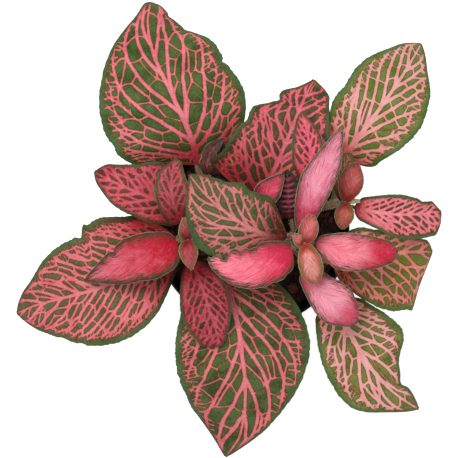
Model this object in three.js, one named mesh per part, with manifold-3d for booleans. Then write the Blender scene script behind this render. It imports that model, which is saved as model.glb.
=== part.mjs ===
// Potted nerve plant (Fittonia) in a round plastic grower's pot.
// Millimetres, +Z up, origin at the centre of the pot's underside.
import * as THREE from "three";
import Module from "manifold-3d";

const wasm = await Module();
wasm.setup();

// Pot: a thin moulding with a wide rim collar and a raised channel with drain holes below.
const POT_HEIGHT = 80;
const POT_RIM_RADIUS = 45;
const POT_COLLAR_HEIGHT = 10;
const POT_COLLAR_STEP = 1.6;
const POT_FOOT_RADIUS = 30.5;
const POT_WALL = 1.3;
const POT_PAD_RADIUS = 12;
const POT_FOOT_RING_INNER = 23.5;
const POT_CHANNEL_RISE = 2;
const POT_SIDES = 48;
const DRAIN_HOLES = 6;
const DRAIN_HOLE_RADIUS = 3.6;

// Soil: fills the pot up to a little below its rim.
const SOIL_TOP = 73;
const SOIL_RELIEF = 1.6;
const SOIL_LUMPS = 16;

// Clearance between two pieces that touch each other. The soil's coarser facets need a little more.
const GAP = 0.3;
const SOIL_GAP = 0.5;

// Leaves.
const BLADE_THICKNESS = 0.9;
const KEEL_DEPTH = 0.9;
const PETIOLE_RADIUS = 1.25;
const BIG_BLADE_STATIONS = [0, 0.03, 0.08, 0.16, 0.26, 0.37, 0.48, 0.59, 0.7, 0.8, 0.89, 0.96, 0.992];
const SMALL_BLADE_STATIONS = [0, 0.05, 0.13, 0.26, 0.41, 0.56, 0.71, 0.85, 0.95, 0.99];
const WIDTH_STATIONS = [0.1, 0.3, 0.5, 0.7, 0.9];
const BASE_ROUNDNESS = 0.55;
const TIP_ROUNDNESS = 0.75;
const BIG_BLADE_WIDTH = 26;
const BIG_BLADE_COLUMNS = [-1, -0.7, -0.36, 0, 0.36, 0.7, 1];
const SMALL_BLADE_COLUMNS = [-1, -0.55, 0, 0.55, 1];
const PETIOLE_STATIONS = [0, 0.3, 0.6, 0.85];

// Stems: the way from the soil to the shoot's tip, with the radius at both ends.
const STEM_SIDES = 10;
const STEM_STATIONS = 9;
const STEMS = {
  left: { path: [[-16, -2, 66], [-24, -4, 96], [-28.5, -5, 126]], radius: [2.3, 1.3] },
  centre: { path: [[10, -4, 66], [18, -6, 106], [21.5, -6, 146]], radius: [2.4, 1.3] },
  right: { path: [[24, 8, 66], [35, 11, 92], [40.5, 12, 119]], radius: [2.2, 1.2] },
  back: { path: [[-9, 14, 66], [-10, 12, 84], [-9.5, 10.5, 103]], radius: [2.2, 1.3] },
};

// One row per leaf. path: four points of the midrib, from the blade's base to its tip.
// left, right: the blade's half-widths at the stations above, seen along the midrib from its base.
// fold: the rise in degrees of each side from the midrib. curl: the extra rise at the margin as a share
// of the half-width. roll: the turn in degrees that lifts the left side, at the base and at the tip.
// wave: height and number of the margin's waves.
const LEAVES = [
  {
    name: "leaf_upper_left", stem: "back", at: 92,
    path: [[-25, 29, 97], [-32, 50, 105], [-43.2, 74.8, 100], [-46.4, 104.2, 80]],
    left: [27, 33, 33, 24.5, 8], right: [22, 30.5, 29, 26.5, 12],
    fold: [6, 5], curl: -0.12, roll: [0, 0], wave: [0.8, 4],
  },
  {
    name: "leaf_upper_right", stem: "right", at: 96,
    path: [[41, 32.5, 101], [53, 48.8, 107], [65.7, 66.5, 101], [77.3, 84.7, 84]],
    left: [13.5, 19.5, 20, 16.8, 9.3], right: [13.5, 18.5, 19.8, 15.5, 6],
    fold: [0, 4], curl: -0.1, roll: [0, 0], wave: [0.7, 4],
  },
  {
    name: "leaf_top_middle", stem: "back", at: 98,
    path: [[2.5, 13, 103], [11.8, 31.5, 108.5], [19.5, 50, 107], [27.7, 67, 99]],
    left: [22, 23.8, 20.8, 12.5, 4.2], right: [8, 14, 17.3, 15, 10.5],
    fold: [8, 12], curl: -0.1, roll: [0, 0], wave: [0.9, 4],
  },
  {
    name: "leaf_left", stem: "left", at: 90,
    path: [[-37, -6.5, 95], [-58.5, -21, 101], [-82.2, -30, 94], [-108.5, -39, 75]],
    left: [12, 24, 27, 22.5, 12], right: [21, 28, 24.5, 21.5, 10],
    fold: [6, 6], curl: -0.1, roll: [0, 0], wave: [0.8, 5],
  },
  {
    name: "leaf_bottom", stem: "left", at: 94,
    path: [[-13.5, -15, 96], [-5.5, -44, 102], [-2.5, -73.2, 95], [-12, -105.3, 74]],
    left: [18, 27.5, 29, 19.5, 7], right: [20, 29, 31.5, 28.5, 12.5],
    fold: [6, 4], curl: -0.1, roll: [0, 0], wave: [0.9, 5],
  },
  {
    name: "leaf_centre", stem: "centre", at: 119,
    path: [[14.5, -3, 130], [-0.5, 0, 136], [-16, 10.5, 134], [-27.5, 23.5, 126.5]],
    left: [3, 7.5, 19, 15.5, 5], right: [12, 16, 14, 11.5, 6],
    fold: [4, 4], curl: -0.1, roll: [6, 0], wave: [0.6, 4],
  },
  {
    name: "leaf_upright_small", stem: "centre", at: 98,
    path: [[26, 19.5, 113], [25.5, 30.5, 117], [24, 41, 118], [21.5, 51.5, 115]],
    left: [6, 8.5, 8, 6.5, 3.5], right: [5, 7, 6, 5, 2],
    fold: [8, 8], curl: 0, roll: [0, 0], wave: [0.3, 3],
  },
  {
    name: "leaf_upright_pale", stem: "centre", at: 128,
    path: [[21.5, -1, 134], [24.5, 13, 140], [30.5, 27.5, 138], [38.5, 43, 128]],
    left: [4.5, 6.5, 7.5, 5.5, 3], right: [4, 6, 7, 6.5, 3],
    fold: [6, 6], curl: 0, roll: [0, 0], wave: [0.3, 4],
  },
  {
    name: "leaf_pink_right", stem: "centre", at: 136,
    path: [[26, -6, 138], [38, -9, 142], [49.5, -10.5, 138], [62.5, -9.5, 127]],
    left: [5, 7.5, 8, 7.5, 5.5], right: [4.5, 8.5, 8, 7, 5],
    fold: [4, 4], curl: -0.1, roll: [0, 0], wave: [0.4, 5],
  },
  {
    name: "leaf_pink_left", stem: "centre", at: 134,
    path: [[16.2, -8.2, 136.5], [4.7, -11.3, 142.5], [-7.1, -12.2, 142.5], [-19.5, -9.6, 139]],
    left: [9.3, 12.2, 13.7, 12.2, 6.3], right: [4.9, 7.8, 8.8, 7.8, 3.9],
    fold: [4, 2], curl: -0.1, roll: [8, 8], wave: [0.4, 5],
  },
  {
    name: "leaf_pink_lower", stem: "centre", at: 127,
    path: [[22.5, -17.5, 130], [28, -26, 133], [36, -33.5, 129], [45.5, -41, 118]],
    left: [6, 7.5, 9.5, 9.5, 5.5], right: [4.5, 6, 8, 8.5, 5],
    fold: [4, 4], curl: -0.1, roll: [0, 0], wave: [0.3, 4],
  },
  {
    name: "leaf_pink_outer", stem: "left", at: 116,
    path: [[-33.5, -5, 118], [-46, -10.5, 121], [-60, -16.5, 115], [-75, -23, 104]],
    left: [9.5, 12, 10.5, 8, 3.5], right: [6, 9, 9.5, 7, 3],
    fold: [4, 4], curl: -0.1, roll: [0, 0], wave: [0.5, 5],
  },
  {
    name: "leaf_left_medium", stem: "left", at: 104,
    path: [[-30, 8, 107], [-43, 13, 111], [-56.5, 18.5, 110], [-70.5, 25.5, 104]],
    left: [9, 10.5, 10.5, 9.5, 5], right: [8, 13, 15, 10.5, 6.5],
    fold: [6, 6], curl: -0.1, roll: [0, 0], wave: [0.4, 4],
  },
  {
    name: "leaf_folded", stem: "left", at: 114,
    path: [[-31, 3.5, 117], [-35, 12.5, 121], [-35.5, 22.5, 121], [-34, 31, 116]],
    left: [6, 7, 7.5, 6, 2], right: [4, 6, 7, 6, 3.5],
    fold: [10, 26], curl: 0, roll: [0, 0], wave: [0.3, 3],
  },
  {
    name: "leaf_dark_pink", stem: "left", at: 104,
    path: [[-27, -14.5, 107], [-22, -27, 112], [-18, -39.5, 110], [-14, -52.5, 103]],
    left: [6, 10, 10.5, 8.5, 4], right: [7, 10.5, 12.5, 12, 9],
    fold: [6, 6], curl: -0.1, roll: [0, 0], wave: [0.4, 4],
  },
  {
    name: "leaf_right", stem: "right", at: 108,
    path: [[45, 9.5, 113], [57, 7.5, 119], [70, 6.5, 117], [83.5, 7.5, 109]],
    left: [5.3, 7.3, 8.4, 7.3, 4.5], right: [5.5, 8, 11, 11, 10],
    fold: [6, 6], curl: -0.1, roll: [0, 0], wave: [0.4, 4],
  },
  {
    name: "leaf_broad_right", stem: "centre", at: 106,
    path: [[35.5, -14.5, 106], [49.5, -12.5, 111], [65.5, -10.5, 107], [81, -10.5, 96]],
    left: [10, 13.5, 11, 8, 5.5], right: [12, 20, 25, 24.5, 12],
    fold: [4, 2], curl: -0.1, roll: [0, 0], wave: [0.6, 4],
  },
  {
    name: "leaf_lower_right", stem: "centre", at: 90,
    path: [[37.5, -32, 96], [44.8, -48.8, 101], [57, -66.9, 95], [76.8, -82.8, 78]],
    left: [12, 18.9, 21.1, 10.8, 5.2], right: [12, 16, 18.7, 18, 6.5],
    fold: [8, 6], curl: -0.1, roll: [0, 0], wave: [0.7, 4],
  },
  {
    name: "leaf_small_inner", stem: "centre", at: 109,
    path: [[1.4, 10.5, 113], [5.5, 15, 116], [9.5, 19.5, 117], [13.2, 24.2, 116]],
    left: [3.5, 5.5, 5.5, 4, 2], right: [3.5, 5.5, 5.5, 4, 2],
    fold: [8, 8], curl: 0, roll: [0, 0], wave: [0.2, 3],
  },
  {
    name: "leaf_small_curled", stem: "back", at: 98,
    path: [[-13.5, 25.5, 102], [-16, 30, 104.5], [-18, 34.5, 105], [-18.5, 39, 103]],
    left: [3.5, 4.5, 4.5, 3.5, 2], right: [2.5, 3.5, 3.5, 3, 2],
    fold: [20, 20], curl: 0, roll: [0, 0], wave: [0.2, 3],
  },
  {
    name: "leaf_small_shaded", stem: "centre", at: 104,
    path: [[16, 3, 108.5], [14.5, 10, 111], [13.5, 17, 112.5], [13.5, 23.5, 112]],
    left: [3, 4.5, 5, 4, 2.5], right: [3, 4.5, 5, 4, 2.5],
    fold: [6, 6], curl: 0, roll: [0, 0], wave: [0.2, 3],
  },
];

// The smallest leaves at each shoot's tip are one growth with its stem.
const TIP_LEAVES = [
  {
    stem: "left",
    path: [[-28.5, -4.5, 125.5], [-29, -1.5, 129], [-29.5, 1.5, 130.5], [-30, 5, 130.5]],
    left: [2.4, 3.4, 3.2, 2.4, 1.2], right: [2.4, 3.4, 3.2, 2.4, 1.2],
    fold: [14, 14], curl: 0, roll: [0, 0], wave: [0, 1],
  },
  {
    stem: "left",
    path: [[-28.5, -5, 125.5], [-28, -9, 129], [-27.5, -13.5, 128.5], [-26.5, -17.5, 125]],
    left: [3, 4.2, 4, 2.8, 1.2], right: [3, 4.2, 4, 2.8, 1.2],
    fold: [12, 12], curl: 0, roll: [0, 0], wave: [0, 1],
  },
  {
    stem: "centre",
    path: [[21.5, -5.5, 145.5], [22.5, -2, 149], [23.5, 2, 150], [24.5, 6, 148]],
    left: [2.6, 4, 4.2, 3.6, 2], right: [2.6, 4, 4.2, 3.6, 2],
    fold: [12, 12], curl: 0, roll: [0, 0], wave: [0, 1],
  },
  {
    stem: "centre",
    path: [[21.5, -6.5, 145.5], [23, -12, 149], [24.5, -17.5, 147], [26.5, -23, 142]],
    left: [3, 4.6, 5.2, 4.8, 3], right: [3, 4.6, 5.2, 4.8, 3],
    fold: [12, 12], curl: 0, roll: [0, 0], wave: [0, 1],
  },
  {
    stem: "centre",
    path: [[20.8, -6, 145.3], [19.4, -5.1, 148], [18.1, -3.8, 149], [16.4, -2.1, 149]],
    left: [1.6, 2.4, 2.5, 2, 1.2], right: [1.6, 2.4, 2.5, 2, 1.2],
    fold: [16, 16], curl: 0, roll: [0, 0], wave: [0, 1],
  },
  {
    stem: "right",
    path: [[40.5, 12, 118.5], [42, 18, 122.5], [43.5, 23.5, 123], [45.5, 29, 120]],
    left: [3, 5, 5.6, 4.6, 2.4], right: [3, 5, 5.6, 4.6, 2.4],
    fold: [10, 10], curl: 0, roll: [0, 0], wave: [0, 1],
  },
  {
    stem: "right",
    path: [[40.5, 11.5, 118.5], [40, 7.5, 122], [39.5, 4, 121.5], [39.5, 0, 118]],
    left: [2.6, 4, 4.4, 3.6, 2], right: [2.6, 4, 4.4, 3.6, 2],
    fold: [10, 10], curl: 0, roll: [0, 0], wave: [0, 1],
  },
];

const GREEN = 0x5f8f4e;
const DEEP_GREEN = 0x47703f;
const PINK = 0xe0607a;
const PALE_PINK = 0xeea0b2;
const STEM_GREEN = 0x9a9a62;
const PEAT = 0x3b241c;
const BLACK_PLASTIC = 0x151515;
const LEAF_COLOURS = {
  leaf_upright_pale: PALE_PINK,
  leaf_pink_right: PINK,
  leaf_pink_left: PINK,
  leaf_pink_lower: PINK,
  leaf_pink_outer: PINK,
  leaf_dark_pink: PINK,
  leaf_small_shaded: DEEP_GREEN,
};

/** A repeatable value in 0..1 from a whole number. */
function noise(index) {
  const value = Math.sin(index * 127.1 + 311.7) * 43758.5453;
  return value - Math.floor(value);
}

/** The point at share t of the curve through evenly spaced points, by Lagrange's rule. */
function through(points, t) {
  const last = points.length - 1;
  const at = new THREE.Vector3();
  points.forEach((point, i) => {
    let weight = 1;
    for (let j = 0; j <= last; j++) {
      if (j !== i) weight *= (t * last - j) / (i - j);
    }
    at.addScaledVector(new THREE.Vector3(...point), weight);
  });
  return at;
}

/** The curve's unit direction at share t. */
function heading(points, t) {
  const step = 1e-3;
  return through(points, t + step).sub(through(points, t - step)).normalize();
}

/** The two directions across a way: to its left, and up out of the blade, turned by roll. */
function across(forward, rollDegrees) {
  const left = new THREE.Vector3(0, 0, 1).cross(forward).normalize();
  left.applyAxisAngle(forward, THREE.MathUtils.degToRad(rollDegrees));
  const up = forward.clone().cross(left);
  return { left, up };
}

/** Closes rings of equal length, each listed over its top from left to right and back below. */
function loft(rings) {
  const size = rings[0].length;
  const row = size / 2;
  const positions = rings.flat().flatMap((p) => [p.x, p.y, p.z]);
  const index = [];
  for (let k = 0; k + 1 < rings.length; k++) {
    for (let i = 0; i < size; i++) {
      const next = (i + 1) % size;
      const a = k * size + i;
      const b = k * size + next;
      const c = a + size;
      const d = b + size;
      // The split below mirrors the one above, so both faces of a waved blade bend alike.
      if (i < row) index.push(a, b, d, a, d, c);
      else index.push(a, b, c, b, d, c);
    }
  }
  const end = (rings.length - 1) * size;
  for (let j = 0; j + 1 < row; j++) {
    const below = size - 1 - j;
    index.push(j, below, below - 1, j, below - 1, j + 1);
    index.push(end + j, end + below - 1, end + below, end + j, end + j + 1, end + below - 1);
  }
  const geometry = new THREE.BufferGeometry();
  geometry.setAttribute("position", new THREE.Float32BufferAttribute(positions, 3));
  geometry.setIndex(index);
  return geometry;
}

/** A round ring of the same number of points as a blade's ring. */
function roundRing(centre, left, up, radius, row) {
  const ring = [];
  for (let i = 0; i < 2 * row; i++) {
    const angle = Math.PI - ((i + 0.5) / row) * Math.PI;
    ring.push(
      centre
        .clone()
        .addScaledVector(left, -radius * Math.cos(angle))
        .addScaledVector(up, radius * Math.sin(angle)),
    );
  }
  return ring;
}

/** The blade's half-width at share t of the midrib, a smooth curve through the widths at its stations. */
function halfWidth(widths, t) {
  const last = WIDTH_STATIONS.length - 1;
  const step = WIDTH_STATIONS[1] - WIDTH_STATIONS[0];
  const slope = widths.map((_, i) => {
    const [before, after] = [Math.max(i - 1, 0), Math.min(i + 1, last)];
    return (widths[after] - widths[before]) / (WIDTH_STATIONS[after] - WIDTH_STATIONS[before]);
  });
  if (t < WIDTH_STATIONS[0]) {
    const x = t / WIDTH_STATIONS[0];
    const round = widths[0] * Math.sin((Math.PI / 2) * x) ** BASE_ROUNDNESS;
    return round + slope[0] * (t - WIDTH_STATIONS[0]) * x;
  }
  if (t > WIDTH_STATIONS[last]) {
    const x = (t - WIDTH_STATIONS[last]) / (1 - WIDTH_STATIONS[last]);
    const round = widths[last] * Math.cos((Math.PI / 2) * x) ** TIP_ROUNDNESS;
    return round + slope[last] * (t - WIDTH_STATIONS[last]) * (1 - x);
  }
  const i = Math.min(Math.floor((t - WIDTH_STATIONS[0]) / step), last - 1);
  const x = (t - WIDTH_STATIONS[i]) / step;
  const [a, b] = [widths[i], widths[i + 1]];
  const [from, to] = [slope[i] * step, slope[i + 1] * step];
  return a + x * from + x * x * (3 * (b - a) - 2 * from - to) + x * x * x * (2 * (a - b) + from + to);
}

/** One ring of a blade at share t of its midrib. */
function bladeRing(leaf, columns, t) {
  const forward = heading(leaf.path, t);
  const { left, up } = across(forward, leaf.roll[0] + (leaf.roll[1] - leaf.roll[0]) * t);
  const centre = through(leaf.path, t);
  const [waveHeight, waves] = leaf.wave;
  const surface = columns.map((column) => {
    const side = column < 0 ? 0 : 1;
    const share = Math.abs(column);
    const half = Math.max(halfWidth(side ? leaf.right : leaf.left, t), 0.8);
    const reach = share * half;
    const angle = THREE.MathUtils.degToRad(leaf.fold[side]);
    const wave = waveHeight * share * share * Math.sin(2 * Math.PI * waves * t + 2.4 * side);
    const rise = reach * Math.sin(angle) + leaf.curl * share * reach + wave * Math.sin(Math.PI * t);
    return centre
      .clone()
      .addScaledVector(left, -Math.sign(column) * reach * Math.cos(angle))
      .addScaledVector(up, rise);
  });
  const keel = KEEL_DEPTH * (1 - t);
  const top = surface.map((p) => p.clone().addScaledVector(up, BLADE_THICKNESS / 2));
  const below = surface.map((p, i) => {
    const depth = BLADE_THICKNESS / 2 + (columns[i] === 0 ? keel : 0);
    return p.clone().addScaledVector(up, -depth);
  });
  return [...top, ...below.reverse()];
}

/** Where a stem's axis passes a height. */
function stemAt(stem, height) {
  let low = 0;
  let high = 1;
  for (let i = 0; i < 40; i++) {
    const middle = (low + high) / 2;
    if (through(stem.path, middle).z < height) low = middle;
    else high = middle;
  }
  const radius = stem.radius[0] + (stem.radius[1] - stem.radius[0]) * low;
  return { axis: through(stem.path, low), radius };
}

/** A leaf: petiole and blade in one closed skin. */
function leafGeometry(leaf) {
  const big = leaf.left[2] + leaf.right[2] > BIG_BLADE_WIDTH;
  const columns = big ? BIG_BLADE_COLUMNS : SMALL_BLADE_COLUMNS;
  const rings = [];
  if (leaf.at) {
    const { axis, radius } = stemAt(STEMS[leaf.stem], leaf.at);
    const base = through(leaf.path, 0);
    const outward = base.clone().sub(axis);
    const start = new THREE.Vector3(outward.x, outward.y, 0).normalize();
    const from = axis.clone().addScaledVector(start, radius + GAP + 0.3);
    const span = from.distanceTo(base);
    const way = new THREE.CubicBezierCurve3(
      from,
      from.clone().addScaledVector(start, span * 0.35),
      base.clone().addScaledVector(heading(leaf.path, 0), -span * 0.35),
      base,
    );
    for (const t of PETIOLE_STATIONS) {
      const { left, up } = across(way.getTangent(t), leaf.roll[0] * t);
      rings.push(roundRing(way.getPoint(t), left, up, PETIOLE_RADIUS, columns.length));
    }
  }
  const stations = big ? BIG_BLADE_STATIONS : SMALL_BLADE_STATIONS;
  for (const t of stations) rings.push(bladeRing(leaf, columns, t));
  return loft(rings);
}

/** A stem: a tapering tube from its hole in the soil to the shoot's tip. */
function stemGeometry(stem) {
  const rings = [];
  for (let k = 0; k <= STEM_STATIONS; k++) {
    const t = k / STEM_STATIONS;
    const forward = heading(stem.path, t);
    const left = new THREE.Vector3(0, 1, 0).cross(forward).normalize();
    const up = forward.clone().cross(left);
    const radius = stem.radius[0] + (stem.radius[1] - stem.radius[0]) * t;
    rings.push(roundRing(through(stem.path, t), left, up, radius, STEM_SIDES / 2));
  }
  return loft(rings);
}

/** A three.js geometry as a solid for joining and cutting. */
function solid(geometry) {
  const source = geometry.index ? geometry : geometry.clone();
  const positions = source.getAttribute("position");
  const mesh = new wasm.Mesh({
    numProp: 3,
    vertProperties: new Float32Array(positions.array),
    triVerts: new Uint32Array(source.index.array),
  });
  mesh.merge();
  return new wasm.Manifold(mesh);
}

/** The solid back as a three.js geometry. */
function geometryOf(body) {
  const mesh = body.getMesh();
  const geometry = new THREE.BufferGeometry();
  geometry.setAttribute("position", new THREE.Float32BufferAttribute(mesh.vertProperties, 3));
  geometry.setIndex(new THREE.BufferAttribute(mesh.triVerts, 1));
  return geometry;
}

/** A solid turned about +Z from a profile of [radius, height] points, first and last on the axis. */
function turned(profile, sides) {
  const points = profile.map(([radius, height]) => new THREE.Vector2(radius, height));
  const geometry = new THREE.LatheGeometry(points, sides);
  geometry.rotateX(Math.PI / 2);
  return solid(geometry);
}

/** The pot's inner radius at a height above its floor. */
function potInner(height) {
  const slope = (POT_RIM_RADIUS - POT_COLLAR_STEP - POT_FOOT_RADIUS) / (POT_HEIGHT - POT_COLLAR_HEIGHT);
  return POT_FOOT_RADIUS + slope * height - POT_WALL;
}

function potSolid() {
  const collar = POT_HEIGHT - POT_COLLAR_HEIGHT;
  const rise = POT_CHANNEL_RISE;
  const body = turned(
    [
      [0, 0],
      [POT_PAD_RADIUS, 0],
      [POT_PAD_RADIUS + rise / 2, rise],
      [POT_FOOT_RING_INNER, rise],
      [POT_FOOT_RING_INNER + rise / 2, 0],
      [POT_FOOT_RADIUS - 1, 0],
      [POT_FOOT_RADIUS, 1],
      [potInner(collar) + POT_WALL, collar],
      [POT_RIM_RADIUS - 0.2, collar + 0.8],
      [POT_RIM_RADIUS, collar + 2],
      [POT_RIM_RADIUS, POT_HEIGHT - 0.6],
      [POT_RIM_RADIUS - 0.5, POT_HEIGHT],
      [POT_RIM_RADIUS - POT_WALL, POT_HEIGHT],
      [POT_RIM_RADIUS - POT_WALL, collar + 2.4],
      [potInner(collar), collar + 0.6],
      [potInner(POT_WALL), POT_WALL],
      [POT_FOOT_RING_INNER + rise / 2 + 0.6, POT_WALL],
      [POT_FOOT_RING_INNER + 0.6, rise + POT_WALL],
      [POT_PAD_RADIUS + rise / 2 - 0.6, rise + POT_WALL],
      [POT_PAD_RADIUS - 0.6, POT_WALL],
      [0, POT_WALL],
    ],
    POT_SIDES,
  );
  const middle = (POT_PAD_RADIUS + POT_FOOT_RING_INNER) / 2 + 0.4;
  const drill = wasm.Manifold.cylinder(6, DRAIN_HOLE_RADIUS, DRAIN_HOLE_RADIUS, 16);
  let pot = body;
  for (let i = 0; i < DRAIN_HOLES; i++) {
    const angle = (i / DRAIN_HOLES) * 2 * Math.PI;
    pot = pot.subtract(drill.translate([middle * Math.cos(angle), middle * Math.sin(angle), -1]));
  }
  return pot;
}

/** The soil's top height at a place, a low bumpy relief. */
function soilHeight(x, y) {
  const broad = Math.sin(x * 0.21 + 1.3) * Math.cos(y * 0.24 - 0.6);
  const fine = Math.sin(x * 0.63 + y * 0.41) * Math.cos(y * 0.57 - x * 0.22 + 2.1);
  return SOIL_TOP + SOIL_RELIEF * (0.6 * broad + 0.4 * fine);
}

function soilSolid() {
  const floor = POT_WALL + GAP + 0.1;
  const step = POT_CHANNEL_RISE + POT_WALL + GAP + 0.1;
  const rim = potInner(SOIL_TOP - POT_COLLAR_HEIGHT) - SOIL_GAP;
  const rings = [0.97, 0.82, 0.64, 0.45, 0.25];
  const profile = [
    [0, floor],
    [POT_PAD_RADIUS - 1.4, floor],
    [POT_PAD_RADIUS - 0.4, step],
    [POT_FOOT_RING_INNER + 1.2, step],
    [POT_FOOT_RING_INNER + 2.2, floor],
    [potInner(floor) - SOIL_GAP, floor],
    [potInner(64) - SOIL_GAP, 64],
    [potInner(64) - SOIL_GAP, SOIL_TOP - 2],
    ...rings.map((share) => [rim * share, SOIL_TOP]),
    [0, SOIL_TOP],
  ];
  const points = profile.map(([radius, height]) => new THREE.Vector2(radius, height));
  const geometry = new THREE.LatheGeometry(points, 36);
  geometry.rotateX(Math.PI / 2);
  const positions = geometry.getAttribute("position");
  for (let i = 0; i < positions.count; i++) {
    if (positions.getZ(i) < SOIL_TOP - 0.1) continue;
    positions.setZ(i, soilHeight(positions.getX(i), positions.getY(i)));
  }
  let soil = solid(geometry);
  for (let i = 0; i < SOIL_LUMPS; i++) {
    const radius = 1.6 + 2 * noise(i * 3);
    const reach = (rim - radius - 2) * Math.sqrt((i + 0.5) / SOIL_LUMPS);
    const angle = i * 2.4;
    const x = reach * Math.cos(angle);
    const y = reach * Math.sin(angle);
    const lump = new THREE.IcosahedronGeometry(radius, 0);
    lump.scale(1, 0.7, 0.55);
    lump.rotateZ(noise(i * 3 + 1) * Math.PI);
    lump.translate(x, y, soilHeight(x, y) + radius * 0.2);
    lump.deleteAttribute("normal");
    lump.deleteAttribute("uv");
    const corners = lump.getAttribute("position").count;
    lump.setIndex([...Array(corners).keys()]);
    soil = soil.add(solid(lump));
  }
  for (const stem of Object.values(STEMS)) {
    const foot = through(stem.path, 0);
    const lean = heading(stem.path, 0);
    const hole = stem.radius[0] + GAP + 0.15;
    const turn = new THREE.Quaternion().setFromUnitVectors(new THREE.Vector3(0, 0, 1), lean);
    const drill = new THREE.CylinderGeometry(hole, hole, 30, 16);
    drill.rotateX(Math.PI / 2);
    drill.translate(0, 0, 15 - 2);
    drill.applyQuaternion(turn);
    drill.translate(foot.x, foot.y, foot.z);
    soil = soil.subtract(solid(drill));
  }
  // A hole's edge may cut a scrap off a lump: the soil is the largest body.
  return soil.decompose().reduce((kept, body) => (body.volume() > kept.volume() ? body : kept));
}

const plant = new THREE.Group();
plant.name = "potted_nerve_plant";

/** Adds a named mesh of one colour. */
function place(name, geometry, colour, roughness) {
  geometry.computeVertexNormals();
  const material = new THREE.MeshStandardMaterial({ color: colour, roughness });
  const mesh = new THREE.Mesh(geometry, material);
  mesh.name = name;
  plant.add(mesh);
}

place("pot", geometryOf(potSolid()), BLACK_PLASTIC, 0.45);
place("soil", geometryOf(soilSolid()), PEAT, 0.95);
for (const [name, stem] of Object.entries(STEMS)) {
  let shoot = solid(stemGeometry(stem));
  for (const leaf of TIP_LEAVES.filter((row) => row.stem === name)) {
    shoot = shoot.add(solid(leafGeometry(leaf)));
  }
  place("shoot_" + name, geometryOf(shoot), STEM_GREEN, 0.6);
}
for (const leaf of LEAVES) {
  place(leaf.name, leafGeometry(leaf), LEAF_COLOURS[leaf.name] ?? GREEN, 0.5);
}

export default plant;
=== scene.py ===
"""A potted nerve plant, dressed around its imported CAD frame.

The leaf rows, the stems and the pot's sizes repeat the driving values of the part's source, in
millimetres, and a few leaves stray from them by up to 5 mm where the likeness asks for it. Meshes
are made in metres, in the frame of the CAD, with every object at the origin.
"""

from __future__ import annotations

import logging
import math
from dataclasses import dataclass, replace
from enum import Enum

import bmesh
import bpy
import numpy as np
from mathutils import Matrix, Vector

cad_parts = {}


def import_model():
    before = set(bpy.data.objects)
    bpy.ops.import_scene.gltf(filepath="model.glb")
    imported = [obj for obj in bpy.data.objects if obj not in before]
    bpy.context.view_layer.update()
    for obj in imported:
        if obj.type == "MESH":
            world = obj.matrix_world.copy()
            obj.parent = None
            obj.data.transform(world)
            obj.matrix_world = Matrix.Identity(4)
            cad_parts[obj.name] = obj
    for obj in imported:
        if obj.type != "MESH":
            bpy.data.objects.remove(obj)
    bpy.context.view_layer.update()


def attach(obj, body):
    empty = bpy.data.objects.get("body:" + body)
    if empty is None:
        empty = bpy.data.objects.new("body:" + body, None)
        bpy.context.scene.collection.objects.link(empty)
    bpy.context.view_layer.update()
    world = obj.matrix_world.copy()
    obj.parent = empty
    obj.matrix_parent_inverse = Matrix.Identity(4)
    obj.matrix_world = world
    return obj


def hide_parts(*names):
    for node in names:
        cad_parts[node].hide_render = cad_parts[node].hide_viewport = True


log = logging.getLogger("nerve_plant")

MM = 0.001

Triple = tuple[float, float, float]
Colour = tuple[float, float, float]


# Finishes


def linear(colour: Colour) -> tuple[float, float, float, float]:
    """A display colour of 0..255 as linear light with full alpha."""
    return (*[((c / 255 + 0.055) / 1.055) ** 2.4 if c > 10 else c / 255 / 12.92 for c in colour], 1.0)


def paler(colour: Colour, share: float) -> Colour:
    """A display colour moved towards white by a share."""
    return tuple(c + share * (255 - c) for c in colour)


def darker(colour: Colour, *shares: float) -> Colour:
    """A display colour with each of its channels cut to a share."""
    return tuple(share * c for share, c in zip(shares, colour))


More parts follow.
